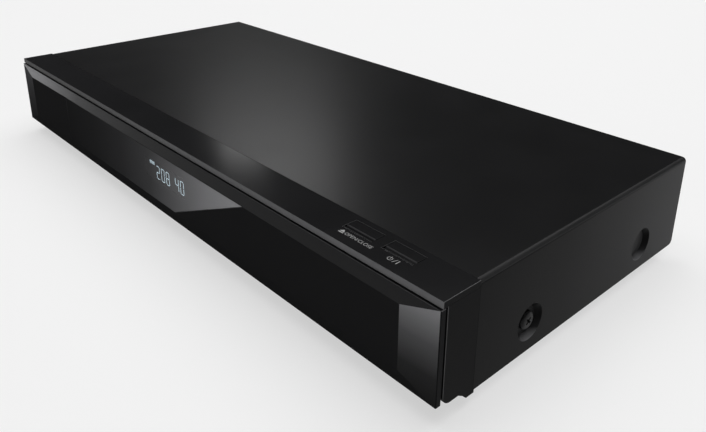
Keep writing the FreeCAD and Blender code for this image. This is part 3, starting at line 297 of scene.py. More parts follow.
# %% [markdown]
# ## The black finishes
# The casing has three kinds of black. The folded cover has a satin coating with a very fine sandy grain.
# The strip and the flap are polished plastic. Mouldings behind the flap are matt and slightly lighter.
# Their specular levels are low, because deep black lacquer returns little light. Narrow edges, rims and the fold
# get lighter finishes of their own, which are painted highlights. A face that goes from dark to light along its
# length in the photograph gets a painted ramp of reflected light and shade along one axis.

# %% Black finishes
cover_paint = grained_finish("cover_paint", (0.0055, 0.0055, 0.0058), 0.30, 2600, 0.08, specular=0.06,
                             unevenness=0.01)
strip_gloss = grained_finish("strip_gloss", (0.0085, 0.0085, 0.009), 0.17, 900, 0.012, specular=0.07,
                             unevenness=0.01)
strip_end = grained_finish("strip_end", (0.009, 0.009, 0.0092), 0.4, 900, 0.012, specular=0.02)
# Painted highlights: lighter blacks for narrow edges, rims, key crests, the strip's end and the cover's fold,
# standing in for the light those edges catch.
edge_painted_highlight = grained_finish("edge_painted_highlight", (0.045, 0.045, 0.046), 0.3, 900, 0.01, specular=0.15)
crest_painted_highlight = grained_finish("crest_painted_highlight", (0.022, 0.022, 0.023), 0.3, 900, 0.01, specular=0.06)
rim_painted_highlight = grained_finish("rim_painted_highlight", (0.20, 0.20, 0.203), 0.3, 900, 0.01, specular=0.2)
end_painted_highlight = grained_finish("end_painted_highlight", (0.11, 0.11, 0.112), 0.3, 900, 0.01, specular=0.2)
fold_painted_highlight = grained_finish("fold_painted_highlight", (0.022, 0.022, 0.0225), 0.34, 2600, 0.10, specular=0.08)
flap_edge = grained_finish("flap_edge", (0.007, 0.007, 0.0075), 0.3, 1200, 0.03, specular=0.02)
bezel_black = grained_finish("bezel_black", (0.0085, 0.0085, 0.0087), 0.48, 2400, 0.16, specular=0.025)
screw_black = grained_finish("screw_black", (0.009, 0.009, 0.0094), 0.33, 3000, 0.08, specular=0.10)
rear_paint = grained_finish("rear_paint", (0.010, 0.010, 0.0105), 0.45, 2600, 0.14, specular=0.15)
key_gloss = grained_finish("key_gloss", (0.0085, 0.0085, 0.009), 0.17, 900, 0.012, specular=0.06,
                           unevenness=0.01)


def along_axis(tree, axis, low, high):
    """How far a point lies between two places along one of the object's axes, from 0 to 1."""
    split = tree.nodes.new("ShaderNodeSeparateXYZ")
    tree.links.new(own_coordinates(tree), split.inputs["Vector"])
    return spread(tree, split.outputs[axis], 0, 1, low * mm, high * mm)


def shaded_gloss(name, axis, low, high, stops, specular, roughness=0.14, grain=700, strength=0.01):
    """A black surface whose tone ramps along one axis as painted light and shade; stops are places from 0 to 1 and
    tones.
    """
    material, tree, shader = new_finish(name, (0.01, 0.01, 0.01), roughness, specular=specular)
    ramp = tree.nodes.new("ShaderNodeValToRGB")
    tree.links.new(along_axis(tree, axis, low, high), ramp.inputs["Fac"])
    elements = ramp.color_ramp.elements
    while len(elements) < len(stops):
        elements.new(0.5)
    for element, (place, tone) in zip(elements, stops):
        element.position = place
        element.color = (tone, tone, tone * 1.03, 1)
    tree.links.new(ramp.outputs["Color"], shader.inputs["Base Color"])
    raise_grain(tree, shader, noise(tree, own_coordinates(tree), grain), strength, 0.1 * mm)
    return material, shader


print(len(bpy.data.materials), "finishes so far")

# %% [markdown]
# ## Shape helpers
# Most pieces are mouldings or folded sheet, so they start as an outline pushed along an axis, get holes
# with the exact boolean solver, and end with a narrow bevel on their hard edges. The bevel is what catches
# light in the photograph: without it a black object has no edges at all.

# %% Shape helpers
def link(name, mesh):
    piece = bpy.data.objects.new(name, mesh)
    bpy.context.scene.collection.objects.link(piece)
    return piece


def mesh_from(name, points, faces):
    mesh = bpy.data.meshes.new(name)
    mesh.from_pydata([Vector(p) * mm for p in points], [], faces)
    tidy = bmesh.new()
    tidy.from_mesh(mesh)
    bmesh.ops.recalc_face_normals(tidy, faces=tidy.faces)
    tidy.to_mesh(mesh)
    tidy.free()
    return link(name, mesh)


def pushed(name, outline, axis, start, end):
    """A closed solid: a flat outline in millimetres, pushed along an axis from start to end."""
    def place(u, v, w):
        return {"x": (w, u, v), "y": (u, w, v), "z": (u, v, w)}[axis]

    count = len(outline)
    points = [place(u, v, w) for w in (start, end) for u, v in outline]
    faces = [list(range(count)), list(range(count, 2 * count))]
    faces += [[i, (i + 1) % count, (i + 1) % count + count, i + count] for i in range(count)]
    return mesh_from(name, points, faces)


def block(name, x0, x1, y0, y1, z0, z1):
    return pushed(name, [(x0, y0), (x1, y0), (x1, y1), (x0, y1)], "z", z0, z1)


def turned(name, profile, centre, axis, steps):
    """A turned solid: pairs of radius and distance along the axis, from one end to the other."""
    towards = Vector(axis).normalized()
    side = towards.orthogonal().normalized()
    other = towards.cross(side)
    points = []
    for radius, along in profile:
        for k in range(steps):
            a = 2 * math.pi * k / steps
            p = Vector(centre) + towards * along + (side * math.cos(a) + other * math.sin(a)) * radius
            points.append(p)
    faces = [list(range(steps)), list(range((len(profile) - 1) * steps, len(profile) * steps))]
    for r in range(len(profile) - 1):
        for k in range(steps):
            n = (k + 1) % steps
            faces.append([r * steps + k, r * steps + n, (r + 1) * steps + n, (r + 1) * steps + k])
    return mesh_from(name, points, faces)


def settle(piece):
    """Turns a piece's modifiers into plain mesh."""
    bpy.context.view_layer.update()
    seen = piece.evaluated_get(bpy.context.evaluated_depsgraph_get())
    mesh = bpy.data.meshes.new_from_object(seen)
    piece.modifiers.clear()
    piece.data = mesh
    return piece


def combine(piece, others, operation):
    for other in others:
        step = piece.modifiers.new(operation.lower(), "BOOLEAN")
        step.operation = operation
        step.solver = "EXACT"
        step.object = other
        settle(piece)
        bpy.data.objects.remove(other)
    return piece


def cut(piece, *tools):
    return combine(piece, tools, "DIFFERENCE")


def weld(piece, *others):
    return combine(piece, others, "UNION")


def soften(piece, width, steps, angle=28):
    """Rounds the hard edges of a piece by a narrow bevel and shades it smoothly between them."""
    bevel = piece.modifiers.new("soft_edges", "BEVEL")
    bevel.width = width * mm
    bevel.segments = steps
    bevel.limit_method = "ANGLE"
    bevel.angle_limit = math.radians(angle)
    bevel.use_clamp_overlap = True
    bevel.miter_outer = "MITER_ARC"
    settle(piece)
    return smooth(piece, angle)


def smooth(piece, angle):
    piece.data.shade_smooth()
    piece.data.set_sharp_from_angle(angle=math.radians(angle))
    return piece


def dress(piece, finish, slot_name, body, *stands_for):
    piece.data.materials.clear()
    piece.data.materials.append(finish)
    return attach(piece, slot_name, body, *stands_for)


def steady_normals(piece):
    """Keeps broad faces flat in the light: narrow bevels take up the turn between them."""
    weighted = piece.modifiers.new("steady", "WEIGHTED_NORMAL")
    weighted.keep_sharp = True
    weighted.weight = 100
    return settle(piece)


def attach(piece, slot_name, body, *stands_for):
    steady_normals(piece)
    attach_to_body(piece, body)
    if stands_for:
        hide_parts(*stands_for)
    return piece


def painted(piece, finishes, kind):
    """Gives each face of a piece the finish whose number kind returns for it."""
    for finish in finishes:
        piece.data.materials.append(finish)
    for face in piece.data.polygons:
        face.material_index = kind(face)
    return piece


def corners(node):
    low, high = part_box(node)
    return low / mm, high / mm


print("shape helpers ready")

# %% [markdown]
# ## The folded cover
# On the real thing this is one sheet of steel, a millimetre thick, folded down at both sides with a tight
# bend. Its lower rear corners are rounded. Four round dimples are pressed in, of which the two front ones
# hold a screw. It could be a box with bevelled edges, but a real fold shows its sheet thickness at the
# back, so the profile is drawn as sheet with an arc at each bend. The dimples are pressed cones.

# %% Cover
cover_low, cover_high = corners("top_cover")
half_width = cover_high.x
sheet_metal = 1.0
bend = 2.4
corner_radius = 2.6
dimple_radius = 9.0
dimple_floor = 6.8
dimple_depth = 2.5
screw_low, screw_high = corners("side_screws")
dimple_height = (screw_low.z + screw_high.z) / 2
screw_head_radius = (screw_high.z - screw_low.z) / 2
screw_y = (screw_low.y + screw_high.y) / 2
rear_dimple_y = 60.3


def arc(cx, cy, radius, start, end, steps):
    angles = [math.radians(start + (end - start) * k / steps) for k in range(steps + 1)]
    return [(cx + radius * math.cos(a), cy + radius * math.sin(a)) for a in angles]


def fold_profile(half, low, high, radius):
    right = arc(half - radius, high - radius, radius, 0, 90, 10)
    left = arc(-half + radius, high - radius, radius, 90, 180, 10)
    return [(half, low)] + right + left + [(-half, low)]


# Painted light: a side's tones rise from front to rear as a painted reflection, and a dimple wall has a painted
# highlight at its lower lip and painted shade above it.
side_reflection_tones = ((0.0, 0.0050), (0.35, 0.0075), (0.65, 0.019), (1.0, 0.043))
dimple_light_and_shade_tones = ((0.0, 0.16), (0.09, 0.09), (0.18, 0.02), (0.40, 0.005), (1.0, 0.003))


def cover_kind(face):
    """A cover face's finish: 0 the top; with painted light, 1 a side, 2 the wall of a dimple, 3 the fold."""
    x, y, z = face.center / mm
    off_dimple = min(math.hypot(y - centre, z - dimple_height) for centre in (screw_y, rear_dimple_y))
    if off_dimple < dimple_radius + 0.5 and abs(face.normal.x) < 0.97:
        return 2
    if z > cover_high.z - bend and 0.2 < abs(face.normal.x) < 0.96:
        return 3
    return 1 if abs(face.normal.x) > 0.7 else 0


def corner_cutter(y, z, radius):
    """What a round lower rear corner leaves out of both sides of the cover."""
    rounding = arc(y - radius, z + radius, radius, 0, -90, 8)
    outline = [(y + 1, z + radius)] + rounding + [(y - radius, z - 1), (y + 1, z - 1)]
    return pushed("corner", outline, "x", -half_width - 1, half_width + 1)


def press_dimple(cover, side, y):
    """Presses one dimple into a side: a boss inside the sheet, and a cone cut into it from outside."""
    start = (side * half_width, y, dimple_height)
    inward = (-side, 0, 0)
    boss = [(dimple_radius + 0.4, sheet_metal * 0.6), (dimple_floor + 0.8, dimple_depth + 0.9)]
    cone = [(dimple_radius + 0.9, -1.0), (dimple_radius, 0), (dimple_floor, dimple_depth)]
    weld(cover, turned("pressed", boss, start, inward, 72))
    cut(cover, turned("hollow", cone, start, inward, 72))


def make_cover():
    outer = fold_profile(half_width, cover_low.z, cover_high.z, bend)
    inner = fold_profile(half_width - sheet_metal, cover_low.z, cover_high.z - sheet_metal,
                         bend - sheet_metal)
    cover = pushed("cover", outer + inner[::-1], "y", cover_low.y, cover_high.y)
    for side in (-1, 1):
        for y in (screw_y, rear_dimple_y):
            press_dimple(cover, side, y)
    cut(cover, corner_cutter(cover_high.y, cover_low.z, corner_radius))
    soften(cover, 0.2, 3, 32)
    satin = (0.03, 0.34, 2600, 0.10)
    side_painted_reflection, _ = shaded_gloss("side_painted_reflection", "Y", cover_low.y, cover_high.y, side_reflection_tones, *satin)
    dimple_painted_light, _ = shaded_gloss("dimple_painted_light", "Z", dimple_height - dimple_radius,
                                   dimple_height + dimple_radius, dimple_light_and_shade_tones, *satin)
    return painted(cover, (cover_paint, side_painted_reflection, dimple_painted_light, fold_painted_highlight), cover_kind)


cover = attach(make_cover(), "cover_paint", "chassis", "top_cover")
light_only(cover_lamp, cover)
print("cover has", len(cover.data.polygons), "faces")

# %% [markdown]
# ## The screws in the dimples
# Machine screws with a cross recess hold the cover. A lathe profile gives the head its slight dome and
# rounded rim, and two crossed wedges cut the recess. The screws are few, but one is seen close in the
# photograph.

# %% Side screws
def screw(name, start, inward, head_radius, head_height, shank_radius, shank_length, recess=0.36):
    """A screw whose head stands at start and whose shank points inward."""
    r, h = head_radius, head_height
    profile = [(r * 0.15, -h), (r * 0.62, -h * 0.97), (r * 0.86, -h * 0.80), (r * 0.97, -h * 0.5)]
    profile += [(r, -h * 0.25), (r, 0), (shank_radius, 0), (shank_radius, shank_length - 0.6),
                (shank_radius * 0.6, shank_length)]
    piece = turned(name, profile, start, inward, 48)
    towards = Vector(inward).normalized()
    side = towards.orthogonal().normalized()
    other = towards.cross(side)
    for long_way, short_way in ((side, other), (other, side)):
        a, b = long_way * r * recess * 1.35, short_way * r * 0.11
        deep = towards * h * 0.62
        head_top = Vector(start) - towards * (h + 0.2)
        floor = Vector(start) - towards * h + deep
        points = [head_top + a + b, head_top - a + b, head_top - a - b, head_top + a - b]
        points += [floor + a * 0.45 + b, floor - a * 0.45 + b, floor - a * 0.45 - b, floor + a * 0.45 - b]
        faces = [[0, 1, 2, 3], [4, 5, 6, 7], [0, 1, 5, 4], [1, 2, 6, 5], [2, 3, 7, 6], [3, 0, 4, 7]]
        cut(piece, mesh_from("recess", points, faces))
    return smooth(piece, 40)


def join_pieces(name, pieces):
    """Several loose meshes as one object."""
    whole = bmesh.new()
    for piece in pieces:
        whole.from_mesh(piece.data)
        bpy.data.objects.remove(piece)
    mesh = bpy.data.meshes.new(name)
    whole.to_mesh(mesh)
    whole.free()
    return link(name, mesh)


screw_head_height = 1.8
screw_shank_radius = 1.6
screw_shank_length = 7.0


def make_side_screws():
    head_x = half_width - dimple_depth
    made = []
    for side in (-1, 1):
        start = (side * head_x, screw_y, dimple_height)
        made.append(screw("one", start, (-side, 0, 0), screw_head_radius, screw_head_height,
                          screw_shank_radius, screw_shank_length))
    return smooth(join_pieces("cover_screws", made), 40)


dress(make_side_screws(), screw_black, "screw_black", "chassis", "side_screws")
print("cover screws at height", round(dimple_height, 1), "mm and", round(screw_y, 1), "mm along")

# %% [markdown]
# ## The polished strip and its two keys
# A glossy plastic strip caps the front edge of the top. Its front face hangs down a little as an apron, and looks
# like a satin grey band that is dark at the left end and light at the right; that ramp is a painted reflection
# along X. Two keys lie flush in it, each with a dip along its front for the fingertip, in a close-fitting window
# whose rounded lip draws the fine light outline in the photograph. The rims are so narrow that a lighter finish of
# their own, picked face by face, paints that outline on as a highlight.

# %% Strip
strip_low, strip_high = corners("control_strip")
keys = ("open_close_button", "power_button")
key_flange = 0.9
key_gap = 0.25
key_dip = 2.7
key_dip_depth = 1.1
key_lip = 0.6
strip_skin = 2.0
# Painted reflection: the front band's tone rises from the left end to the right.
band_reflection_tones = ((0.0, 0.020), (0.25, 0.042), (0.5, 0.095), (1.0, 0.155))
apron_depth = 2.3
apron_drop = 0.25


def key_box(node):
    """The visible cap of a key, without the flange that holds it in."""
    low, high = corners(node)
    return low.x + key_flange, high.x - key_flange, low.y + key_flange, high.y - key_flange, low.z, high.z


def rim_side(x, y):
    """Which side of a key's window a place lies on, if it lies close to one."""
    for node in keys:
        x0, x1, y0, y1, _, _ = key_box(node)
        if x0 - 1 < x < x1 + 1 and y0 - 1 < y < y1 + 1:
            distances = {"left": abs(x - x0), "right": abs(x - x1)}
            distances.update(front=abs(y - y0), back=abs(y - y1))
            return min(distances, key=distances.get)
    return None


def strip_kind(face):
    """Finish: 0 gloss, 1 front band, 2 ends; painted highlights: 3 window rims, 4 right end's edge, 5 front rims.
    """
    x, y, z = face.center / mm
    tilted = 0.15 < face.normal.z < 0.99
    if tilted and rim_side(x, y) in ("left", "back", "front"):
        return 5 if rim_side(x, y) == "front" else 3
    if tilted and x > strip_high.x - 0.5:
        return 4
    if face.normal.y < -0.3 and y < strip_low.y + 0.4:
        return 1
    return 2 if abs(face.normal.x) > 0.75 and abs(x) > strip_high.x - 1 else 0


def make_strip():
    strip = block("strip", strip_low.x, strip_high.x, strip_low.y, strip_high.y, strip_low.z, strip_high.z)
    weld(strip, block("apron", strip_low.x, strip_high.x, strip_low.y, strip_low.y + apron_depth,
                      strip_low.z - apron_drop, strip_low.z + 0.5))
    cut(strip, block("under", strip_low.x + 4, strip_high.x - 4, strip_low.y + 4.8, strip_high.y - 2,
                     strip_low.z - 1, strip_high.z - strip_skin))
    for node in keys:
        x0, x1, y0, y1, _, _ = key_box(node)
        cut(strip, block("window", x0 - key_gap, x1 + key_gap, y0 - key_gap, y1 + key_gap,
                         strip_low.z - 1, strip_high.z + 1))
    soften(strip, 0.28, 4)
    band_painted_reflection, _ = shaded_gloss("band_painted_reflection", "X", strip_low.x, strip_high.x, band_reflection_tones, 0.12, 0.42,
                                 1800, 0.06)
    finishes = (strip_gloss, band_painted_reflection, strip_end, edge_painted_highlight, end_painted_highlight, rim_painted_highlight)
    return painted(strip, finishes, strip_kind)


strip = attach(make_strip(), "strip_gloss", "chassis", "control_strip")
light_only(strip_lamp, strip)
print("strip is", round(strip_high.y - strip_low.y, 1), "mm deep")


# %% Keys
flange_thick = 0.8
stem_half = 1.5


def key_profile(y0, y1, low, top):
    """A key from its side: a flat cap with a rounded dip behind a narrow lip at its front."""
    dip = []
    for t in (0.12, 0.3, 0.5, 0.75, 0.9):
        deep = key_dip_depth * math.sin(t * math.pi / 2) ** 1.6
        dip.append((y0 + key_lip + (key_dip - key_lip) * (1 - t), top - deep))
    dip += [(y0 + key_lip + 0.1, top - 0.8), (y0 + key_lip - 0.15, top - 0.05), (y0, top - 0.05)]
    return [(y0, low), (y1, low), (y1, top), (y0 + key_dip, top)] + dip


def make_key(name, node):
    x0, x1, y0, y1, low, top = key_box(node)
    flange_top = strip_high.z - strip_skin - 0.05
    flange_low = flange_top - flange_thick
    cap = pushed(name, key_profile(y0, y1, flange_low, top), "x", x0, x1)
    soften(cap, 0.22, 3, 35)
    flange = block("flange", x0 - key_flange, x1 + key_flange, y0 - key_flange, y1 + key_flange,
                   flange_low, flange_top)
    mid_x, mid_y = (x0 + x1) / 2, (y0 + y1) / 2
    stem = block("stem", mid_x - stem_half, mid_x + stem_half, mid_y - stem_half, mid_y + stem_half,
                 low, flange_low + 0.1)
    weld(cap, flange, stem)

    def kind(face):
        """Which finish a face of the key gets: 1 a painted highlight on the crest and lip of the dip, 0 the rest.
        """
        y, z = face.center.y / mm, face.center.z / mm
        at_crest = y0 + key_dip - 0.5 < y < y0 + key_dip + 0.05 and 0.3 < face.normal.z < 0.995
        at_lip = y < y0 + key_lip - 0.1 and face.normal.z > 0.3 and z > top - 0.3
        return int(at_crest or at_lip)

    cap.data.materials.clear()
    return smooth(painted(cap, (key_gloss, crest_painted_highlight), kind), 30)


attach(make_key("open_key", keys[0]), "strip_gloss", "open_key", keys[0])
attach(make_key("power_key", keys[1]), "strip_gloss", "power_key", keys[1])
print("two keys of", round(key_box(keys[0])[1] - key_box(keys[0])[0], 1), "mm")

# %% [markdown]
# ## Printed marks
# The keys are explained by small white marks in front of them: a triangle over a bar with the words for
# opening and closing, and the usual power sign. They are printed ink, so each is a wafer a few hundredths
# of a millimetre thick.

# %% Marks
white_ink = grained_finish("white_ink", (0.36, 0.36, 0.36), 0.5, 4000, 0.05, specular=0.1)
ink_thick = 0.03
ink_spread = 0.03
mark_y = strip_low.y + 5.5
open_sign_x = key_box(keys[0])[0] + 1.4
power_sign_x = key_box(keys[1])[0] + 8.1
sign_half = 1.4
word_size = 2.85


def flat_mark(name, outline):
    return pushed(name, outline, "z", strip_high.z, strip_high.z + ink_thick)


def ring_mark(name, x, y, radius, width, start, end):
    outer = arc(x, y, radius, start, end, 24)
    inner = arc(x, y, radius - width, start, end, 24)
    return flat_mark(name, outer + inner[::-1])


def slanted_mark(name, low_x, high_x, low_y, high_y, width):
    """A stroke of the given width between two heights, upright where both places along X are the same."""
    low_edge, high_edge = low_x + width, high_x + width
    return flat_mark(name, [(low_x, low_y), (low_edge, low_y), (high_edge, high_y), (high_x, high_y)])


def make_marks():
    x, y = open_sign_x, mark_y
    triangle = flat_mark("triangle", [(x, y + 1.0), (x + 3.0, y + 1.0), (x + 1.5, y + 2.7)])
    bar_mark = slanted_mark("bar", x, x, y, y + 0.55, 3.0)
    x, y = power_sign_x, mark_y + 1.0
    ring = ring_mark("ring", x, y, 1.3, 0.26, 125, 415)
    stroke = slanted_mark("stroke", x - 0.16, x - 0.16, y, y + 1.6, 0.32)
    slant = slanted_mark("slant", x + 2.1, x + 3.0, y - sign_half, y + sign_half, 0.3)
    one = slanted_mark("one", x + 4.2, x + 4.2, y - sign_half, y + sign_half, 0.35)
    return join_pieces("key_signs", [triangle, bar_mark, ring, stroke, slant, one])


def make_words(name, text, x, y):
    """Printed words as thin solid letters, from Blender's own plain typeface."""
    letters = bpy.data.curves.new(name, "FONT")
    letters.body = text
    letters.size = word_size * mm
    letters.extrude = ink_thick * mm / 2
    letters.offset = -ink_spread * mm
    curve = link(name + "_curve", letters)
    curve.location = (x * mm, y * mm, (strip_high.z + ink_thick / 2) * mm)
    bpy.context.view_layer.update()
    mesh = bpy.data.meshes.new_from_object(curve.evaluated_get(bpy.context.evaluated_depsgraph_get()))
    mesh.transform(curve.matrix_world)
    bpy.data.objects.remove(curve)
    return link(name, mesh)


dress(make_marks(), white_ink, "strip_gloss", "chassis")
words = make_words("open_close_words", "OPEN/CLOSE", open_sign_x + 3.5, mark_y + 0.1)
dress(words, white_ink, "strip_gloss", "chassis")
print("marks are", ink_thick, "mm thick")

# %% [markdown]
# ## The flap
# The whole front is one hinged flap with a raised, bevelled face like a cut mirror. The four bevels lean by only a
# few degrees and shine while the middle stays black. They are planar facets with crisp edges between, so only the
# outer rim is rounded. Each facet would mirror another part of the room; that reflection is painted into its
# colour as a ramp of tones of its own, and none of them depends on where the camera stands.

# %% Flap
flap_low, flap_high = corners("front_flap")
window_low, window_high = corners("display_window")
crown_y = flap_low.y
face_y = crown_y + 1.4
flap_back = face_y + 2.9
side_bevel = 19.8
top_bevel = 6.5
bottom_bevel = 7.5
flap_skin = 1.4
flap_rim = 4.0
window_slant = 70.6
sight = (-38.0, 31.0, 25.5, 45.5)
hinge = next(j for j in frame["joints"] if j["name"] == "flap_hinge")["pos_m"]
hinge_y, hinge_z = hinge[1] / mm, hinge[2] / mm
pin_radius = 1.5
pin_gap = 0.06
eye_radius = 3.0
arm_start, arm_end = 207.0, 211.0


def window_outline(grow=0.0):
    return [(window_low.x - grow, window_low.z), (window_high.x - window_slant + grow, window_low.z),
            (window_high.x + grow, window_high.z), (window_low.x - grow, window_high.z)]


def make_flap_body():
    x, z0, z1 = flap_high.x, flap_low.z, flap_high.z
    cx, c0, c1 = x - side_bevel, z0 + bottom_bevel, z1 - top_bevel
    rim = [(-x, z0), (x, z0), (x, z1), (-x, z1)]
    crown = [(-cx, c0), (cx, c0), (cx, c1), (-cx, c1)]
    points = []
    for outline, y in ((rim, flap_back), (rim, face_y), (crown, crown_y)):
        points += [(u, y, v) for u, v in outline]
    faces = [[0, 1, 2, 3], [8, 9, 10, 11]]
    for start in (0, 4):
        for i in range(start, start + 4):
            after = start + (i + 1) % 4
            faces.append([i, after, after + 4, i + 4])
    return mesh_from("flap", points, faces)


def facet_kind(face):
    """A face's finish: 0 edges and back, 1 crown and bottom, 2 top, 3 right, 4 left, 5 and 6 rims; 1 to 6 are
    painted light.
    """
    if face.center.y < (face_y + 0.4) * mm and face.normal.z > 0.15 and -0.9 < face.normal.y < -0.2:
        return 5
    if face.normal.z > 0.2 and face.normal.x > 0.2 and face.center.z > (flap_high.z - 0.5) * mm:
        return 6
    if face.center.y > (face_y - 0.02) * mm or face.normal.y > -0.9:
        return 0
    if face.normal.y < -0.9995 or face.normal.z < -0.05:
        return 1
    if face.normal.z > abs(face.normal.x):
        return 2
    return 3 if face.center.x > 0 else 4


def make_arm(side):
    """One of the two arms that carry the flap on its hinge pins, with the pin's bore in its eye."""
    x0, x1 = sorted((side * arm_start, side * arm_end))
    arm_y = face_y + flap_skin - 0.2
    arm = block("arm", x0, x1, arm_y, hinge_y, hinge_z - eye_radius, hinge_z + eye_radius)
    eye = [(eye_radius, 0), (eye_radius, x1 - x0)]
    bore = [(pin_radius + pin_gap, 0), (pin_radius + pin_gap, x1 - x0 + 2)]
    weld(arm, turned("eye", eye, (x0, hinge_y, hinge_z), (1, 0, 0), 48))
    return cut(arm, turned("bore", bore, (x0 - 1, hinge_y, hinge_z), (1, 0, 0), 48))


def make_flap():
    flap = make_flap_body()
    x, z0, z1 = flap_high.x, flap_low.z, flap_high.z
    pocket = block("pocket", -x + flap_rim, x - flap_rim, face_y + flap_skin, flap_back + 1,
                   z0 + flap_rim, z1 - flap_rim)
    inset = pushed("inset", window_outline(0.02), "y", crown_y - 1, window_high.y)
    sight_hole = block("sight", sight[0], sight[1], crown_y - 1, flap_back + 1, sight[2], sight[3])
    cut(flap, pocket, inset, sight_hole)
    soften(flap, 0.32, 3, 40)
    for side in (-1, 1):
        weld(flap, make_arm(side))
    return smooth(flap, 3)


# %% The flap's finishes
# Painted reflections: each facet's tones ramp across X or upwards in Z, in place of what it would mirror.
crown_reflection_tones = ((0.0, 0.019), (1.0, 0.0175))
top_facet_reflection_tones = ((0.0, 0.31), (0.09, 0.265), (0.15, 0.18), (0.24, 0.062), (0.31, 0.033), (0.43, 0.015),
             (0.6, 0.017), (1.0, 0.021))
right_facet_reflection_tones = ((0.0, 0.007), (0.30, 0.022), (0.62, 0.095), (0.82, 0.19), (1.0, 0.30))
left_facet_reflection_tones = ((0.0, 0.022), (0.55, 0.045), (0.8, 0.066), (1.0, 0.08))


def without_mirror(shader):
    """An index of 1 takes away the mirror image that any lacquer shows at a flat angle."""
    shader.inputs["IOR"].default_value = 1.0


across = ("X", -flap_high.x, flap_high.x)
upwards = ("Z", flap_low.z, flap_high.z)
top_facet, _ = shaded_gloss("top_facet", *across, top_facet_reflection_tones, 0.05)
right_facet, _ = shaded_gloss("right_facet", *upwards, right_facet_reflection_tones, 0.03)
left_facet, left_shader = shaded_gloss("left_facet", *upwards, left_facet_reflection_tones, 0.001)
crown_gloss, crown_shader = shaded_gloss("flap_gloss", *across, crown_reflection_tones, 0.002, 0.10)
# The left facet and the crown lose their own mirror image, so their tones are painted reflection alone.
without_mirror(left_shader)
without_mirror(crown_shader)
flap_finishes = (flap_edge, crown_gloss, top_facet, right_facet, left_facet, edge_painted_highlight, end_painted_highlight)
flap = attach(painted(make_flap(), flap_finishes, facet_kind), "flap_gloss", "flap", "front_flap")
faces_of = [sum(face.material_index == k for face in flap.data.polygons) for k in range(len(flap_finishes))]
print("flap faces by finish", faces_of)

# %% [markdown]
# ## The smoked window
# Part of the raised face is a smoked insert, cut slanting at its right end. Its tones are a painted reflection,
# strongest at the right tip and fading out to black towards the left, so they follow the object's own X axis; the
# front's own mirror image is taken away. In front of the figures the film is clear, like grey glass. That is done
# with transmission at an index of 1, which bends no ray and needs no chance to decide between glass and film, so
# it stays free of noise. The back face is left out there in a wider area, so nothing dark shows at a slant.

# %% Window
lit_area = (-14.0, 30.5, 31.0, 43.2)
# Painted reflection: the film's tones, bright at the right tip and fading to black towards the left.
film_reflection_tones = ((0.0, 0.0182), (0.2, 0.0243), (0.38, 0.038), (0.55, 0.070), (0.72, 0.175), (0.85, 0.29),
              (1.0, 0.38))
film_thick = 0.3
edge_fade = 0.25
smoke_tint = 0.15
back_margin = 5


def covered_share(tree, grow):
    """1 where the film is dense and 0 in the clear area in front of the figures."""
    covered = None
    x0, x1, z0, z1 = lit_area
    for axis, low, high in (("X", x0 - grow, x1 + grow), ("Z", z0 - grow, z1 + grow)):
        before = spread(tree, along_axis(tree, axis, low, low + edge_fade), 1, 0, 0, 1)
        behind = spread(tree, along_axis(tree, axis, high - edge_fade, high), 0, 1, 0, 1)
        outside = larger(tree, before, behind)
        covered = outside if covered is None else larger(tree, covered, outside)
    return covered


def painted_film_reflection(name):
    return shaded_gloss(name, "X", window_low.x, window_high.x, film_reflection_tones, 0.002, 0.10)


def film_front():
    """The film's painted reflection, with a clear area through which one sees as through grey glass."""
    material, shader = painted_film_reflection("window_film")
    tree = material.node_tree
    covered = covered_share(tree, 0)
    shade = two_colors(tree, covered, [smoke_tint] * 3, (0, 0, 0))
    tree.links.new(shader.inputs["Base Color"].links[0].from_socket, shade.node.inputs["B"])
    tree.links.new(shade, shader.inputs["Base Color"])
    tree.links.new(spread(tree, covered, 1, 0, 0, 1), shader.inputs["Transmission Weight"])
    without_mirror(shader)
    return material


def film_back():
    material, shader = painted_film_reflection("window_back")
    tree = material.node_tree
    tree.links.new(covered_share(tree, back_margin), shader.inputs["Alpha"])
    return material


def film_kind(face):
    """Which finish a face of the window gets: 1 the back, 0 the front and the edges."""
    return int(face.normal.y > 0.5)


window = pushed("window", window_outline(), "y", window_low.y, window_low.y + film_thick)
soften(window, 0.12, 2)
painted(window, (film_front(), film_back()), film_kind)
attach(window, "window_smoke", "flap", "display_window")
print("window is", round(window_high.x - window_low.x, 1), "mm wide at its top")

# %% [markdown]
# ## The lit figures
# The readout behind the window shows three figures, a space and two more. Each segment is a flat hexagonal
# bar, so the figures are built from a list of which bars are lit. They stand on a block that belongs to the
# casing and reaches forward into the flap's opening, just behind the window, so they look sharp and near.
# The block's faint glow is painted light, though the block is no lamp: it gives off the film's painted tones. Grey
# glass takes a share of its light, which the glow's strength makes up for, so from in front nobody can tell the
# clear area from the film around it.

# %% Figures
def lit_segments():
    material, tree, shader = new_finish("lit_segments", (0.6, 0.75, 0.8), 0.4)
    shader.inputs["Emission Color"].default_value = (0.72, 0.9, 1.0, 1)
    glow = noise(tree, own_coordinates(tree), 900)
    tree.links.new(spread(tree, glow, 2.4, 3.0), shader.inputs["Emission Strength"])
    return material


module_low, _ = corners("display_module")
digit_left = -1.4
digit_low = 32.6
digit_height = 7.9
digit_width = 3.3
digit_pitch = 5.6
digit_gap = 4.8
segment = 0.24
segment_gap = 0.18
digit_text = "20840"
figures_before_gap = 3
mark_bars = 6
mark_pitch = 1.0
mark_left = digit_left - 7.4
mark_low, mark_high = 39.9, 42.4
panel_front = window_low.y + film_thick + 0.1
# Painted glow: the block's light stands in for the film's painted reflection in the clear area.
lit_share = 0.5
painted_glow_strength = lit_share / math.sqrt(smoke_tint)
lit_bars = {"0": "abcdef", "2": "abged", "4": "fgbc", "8": "abcdefg"}


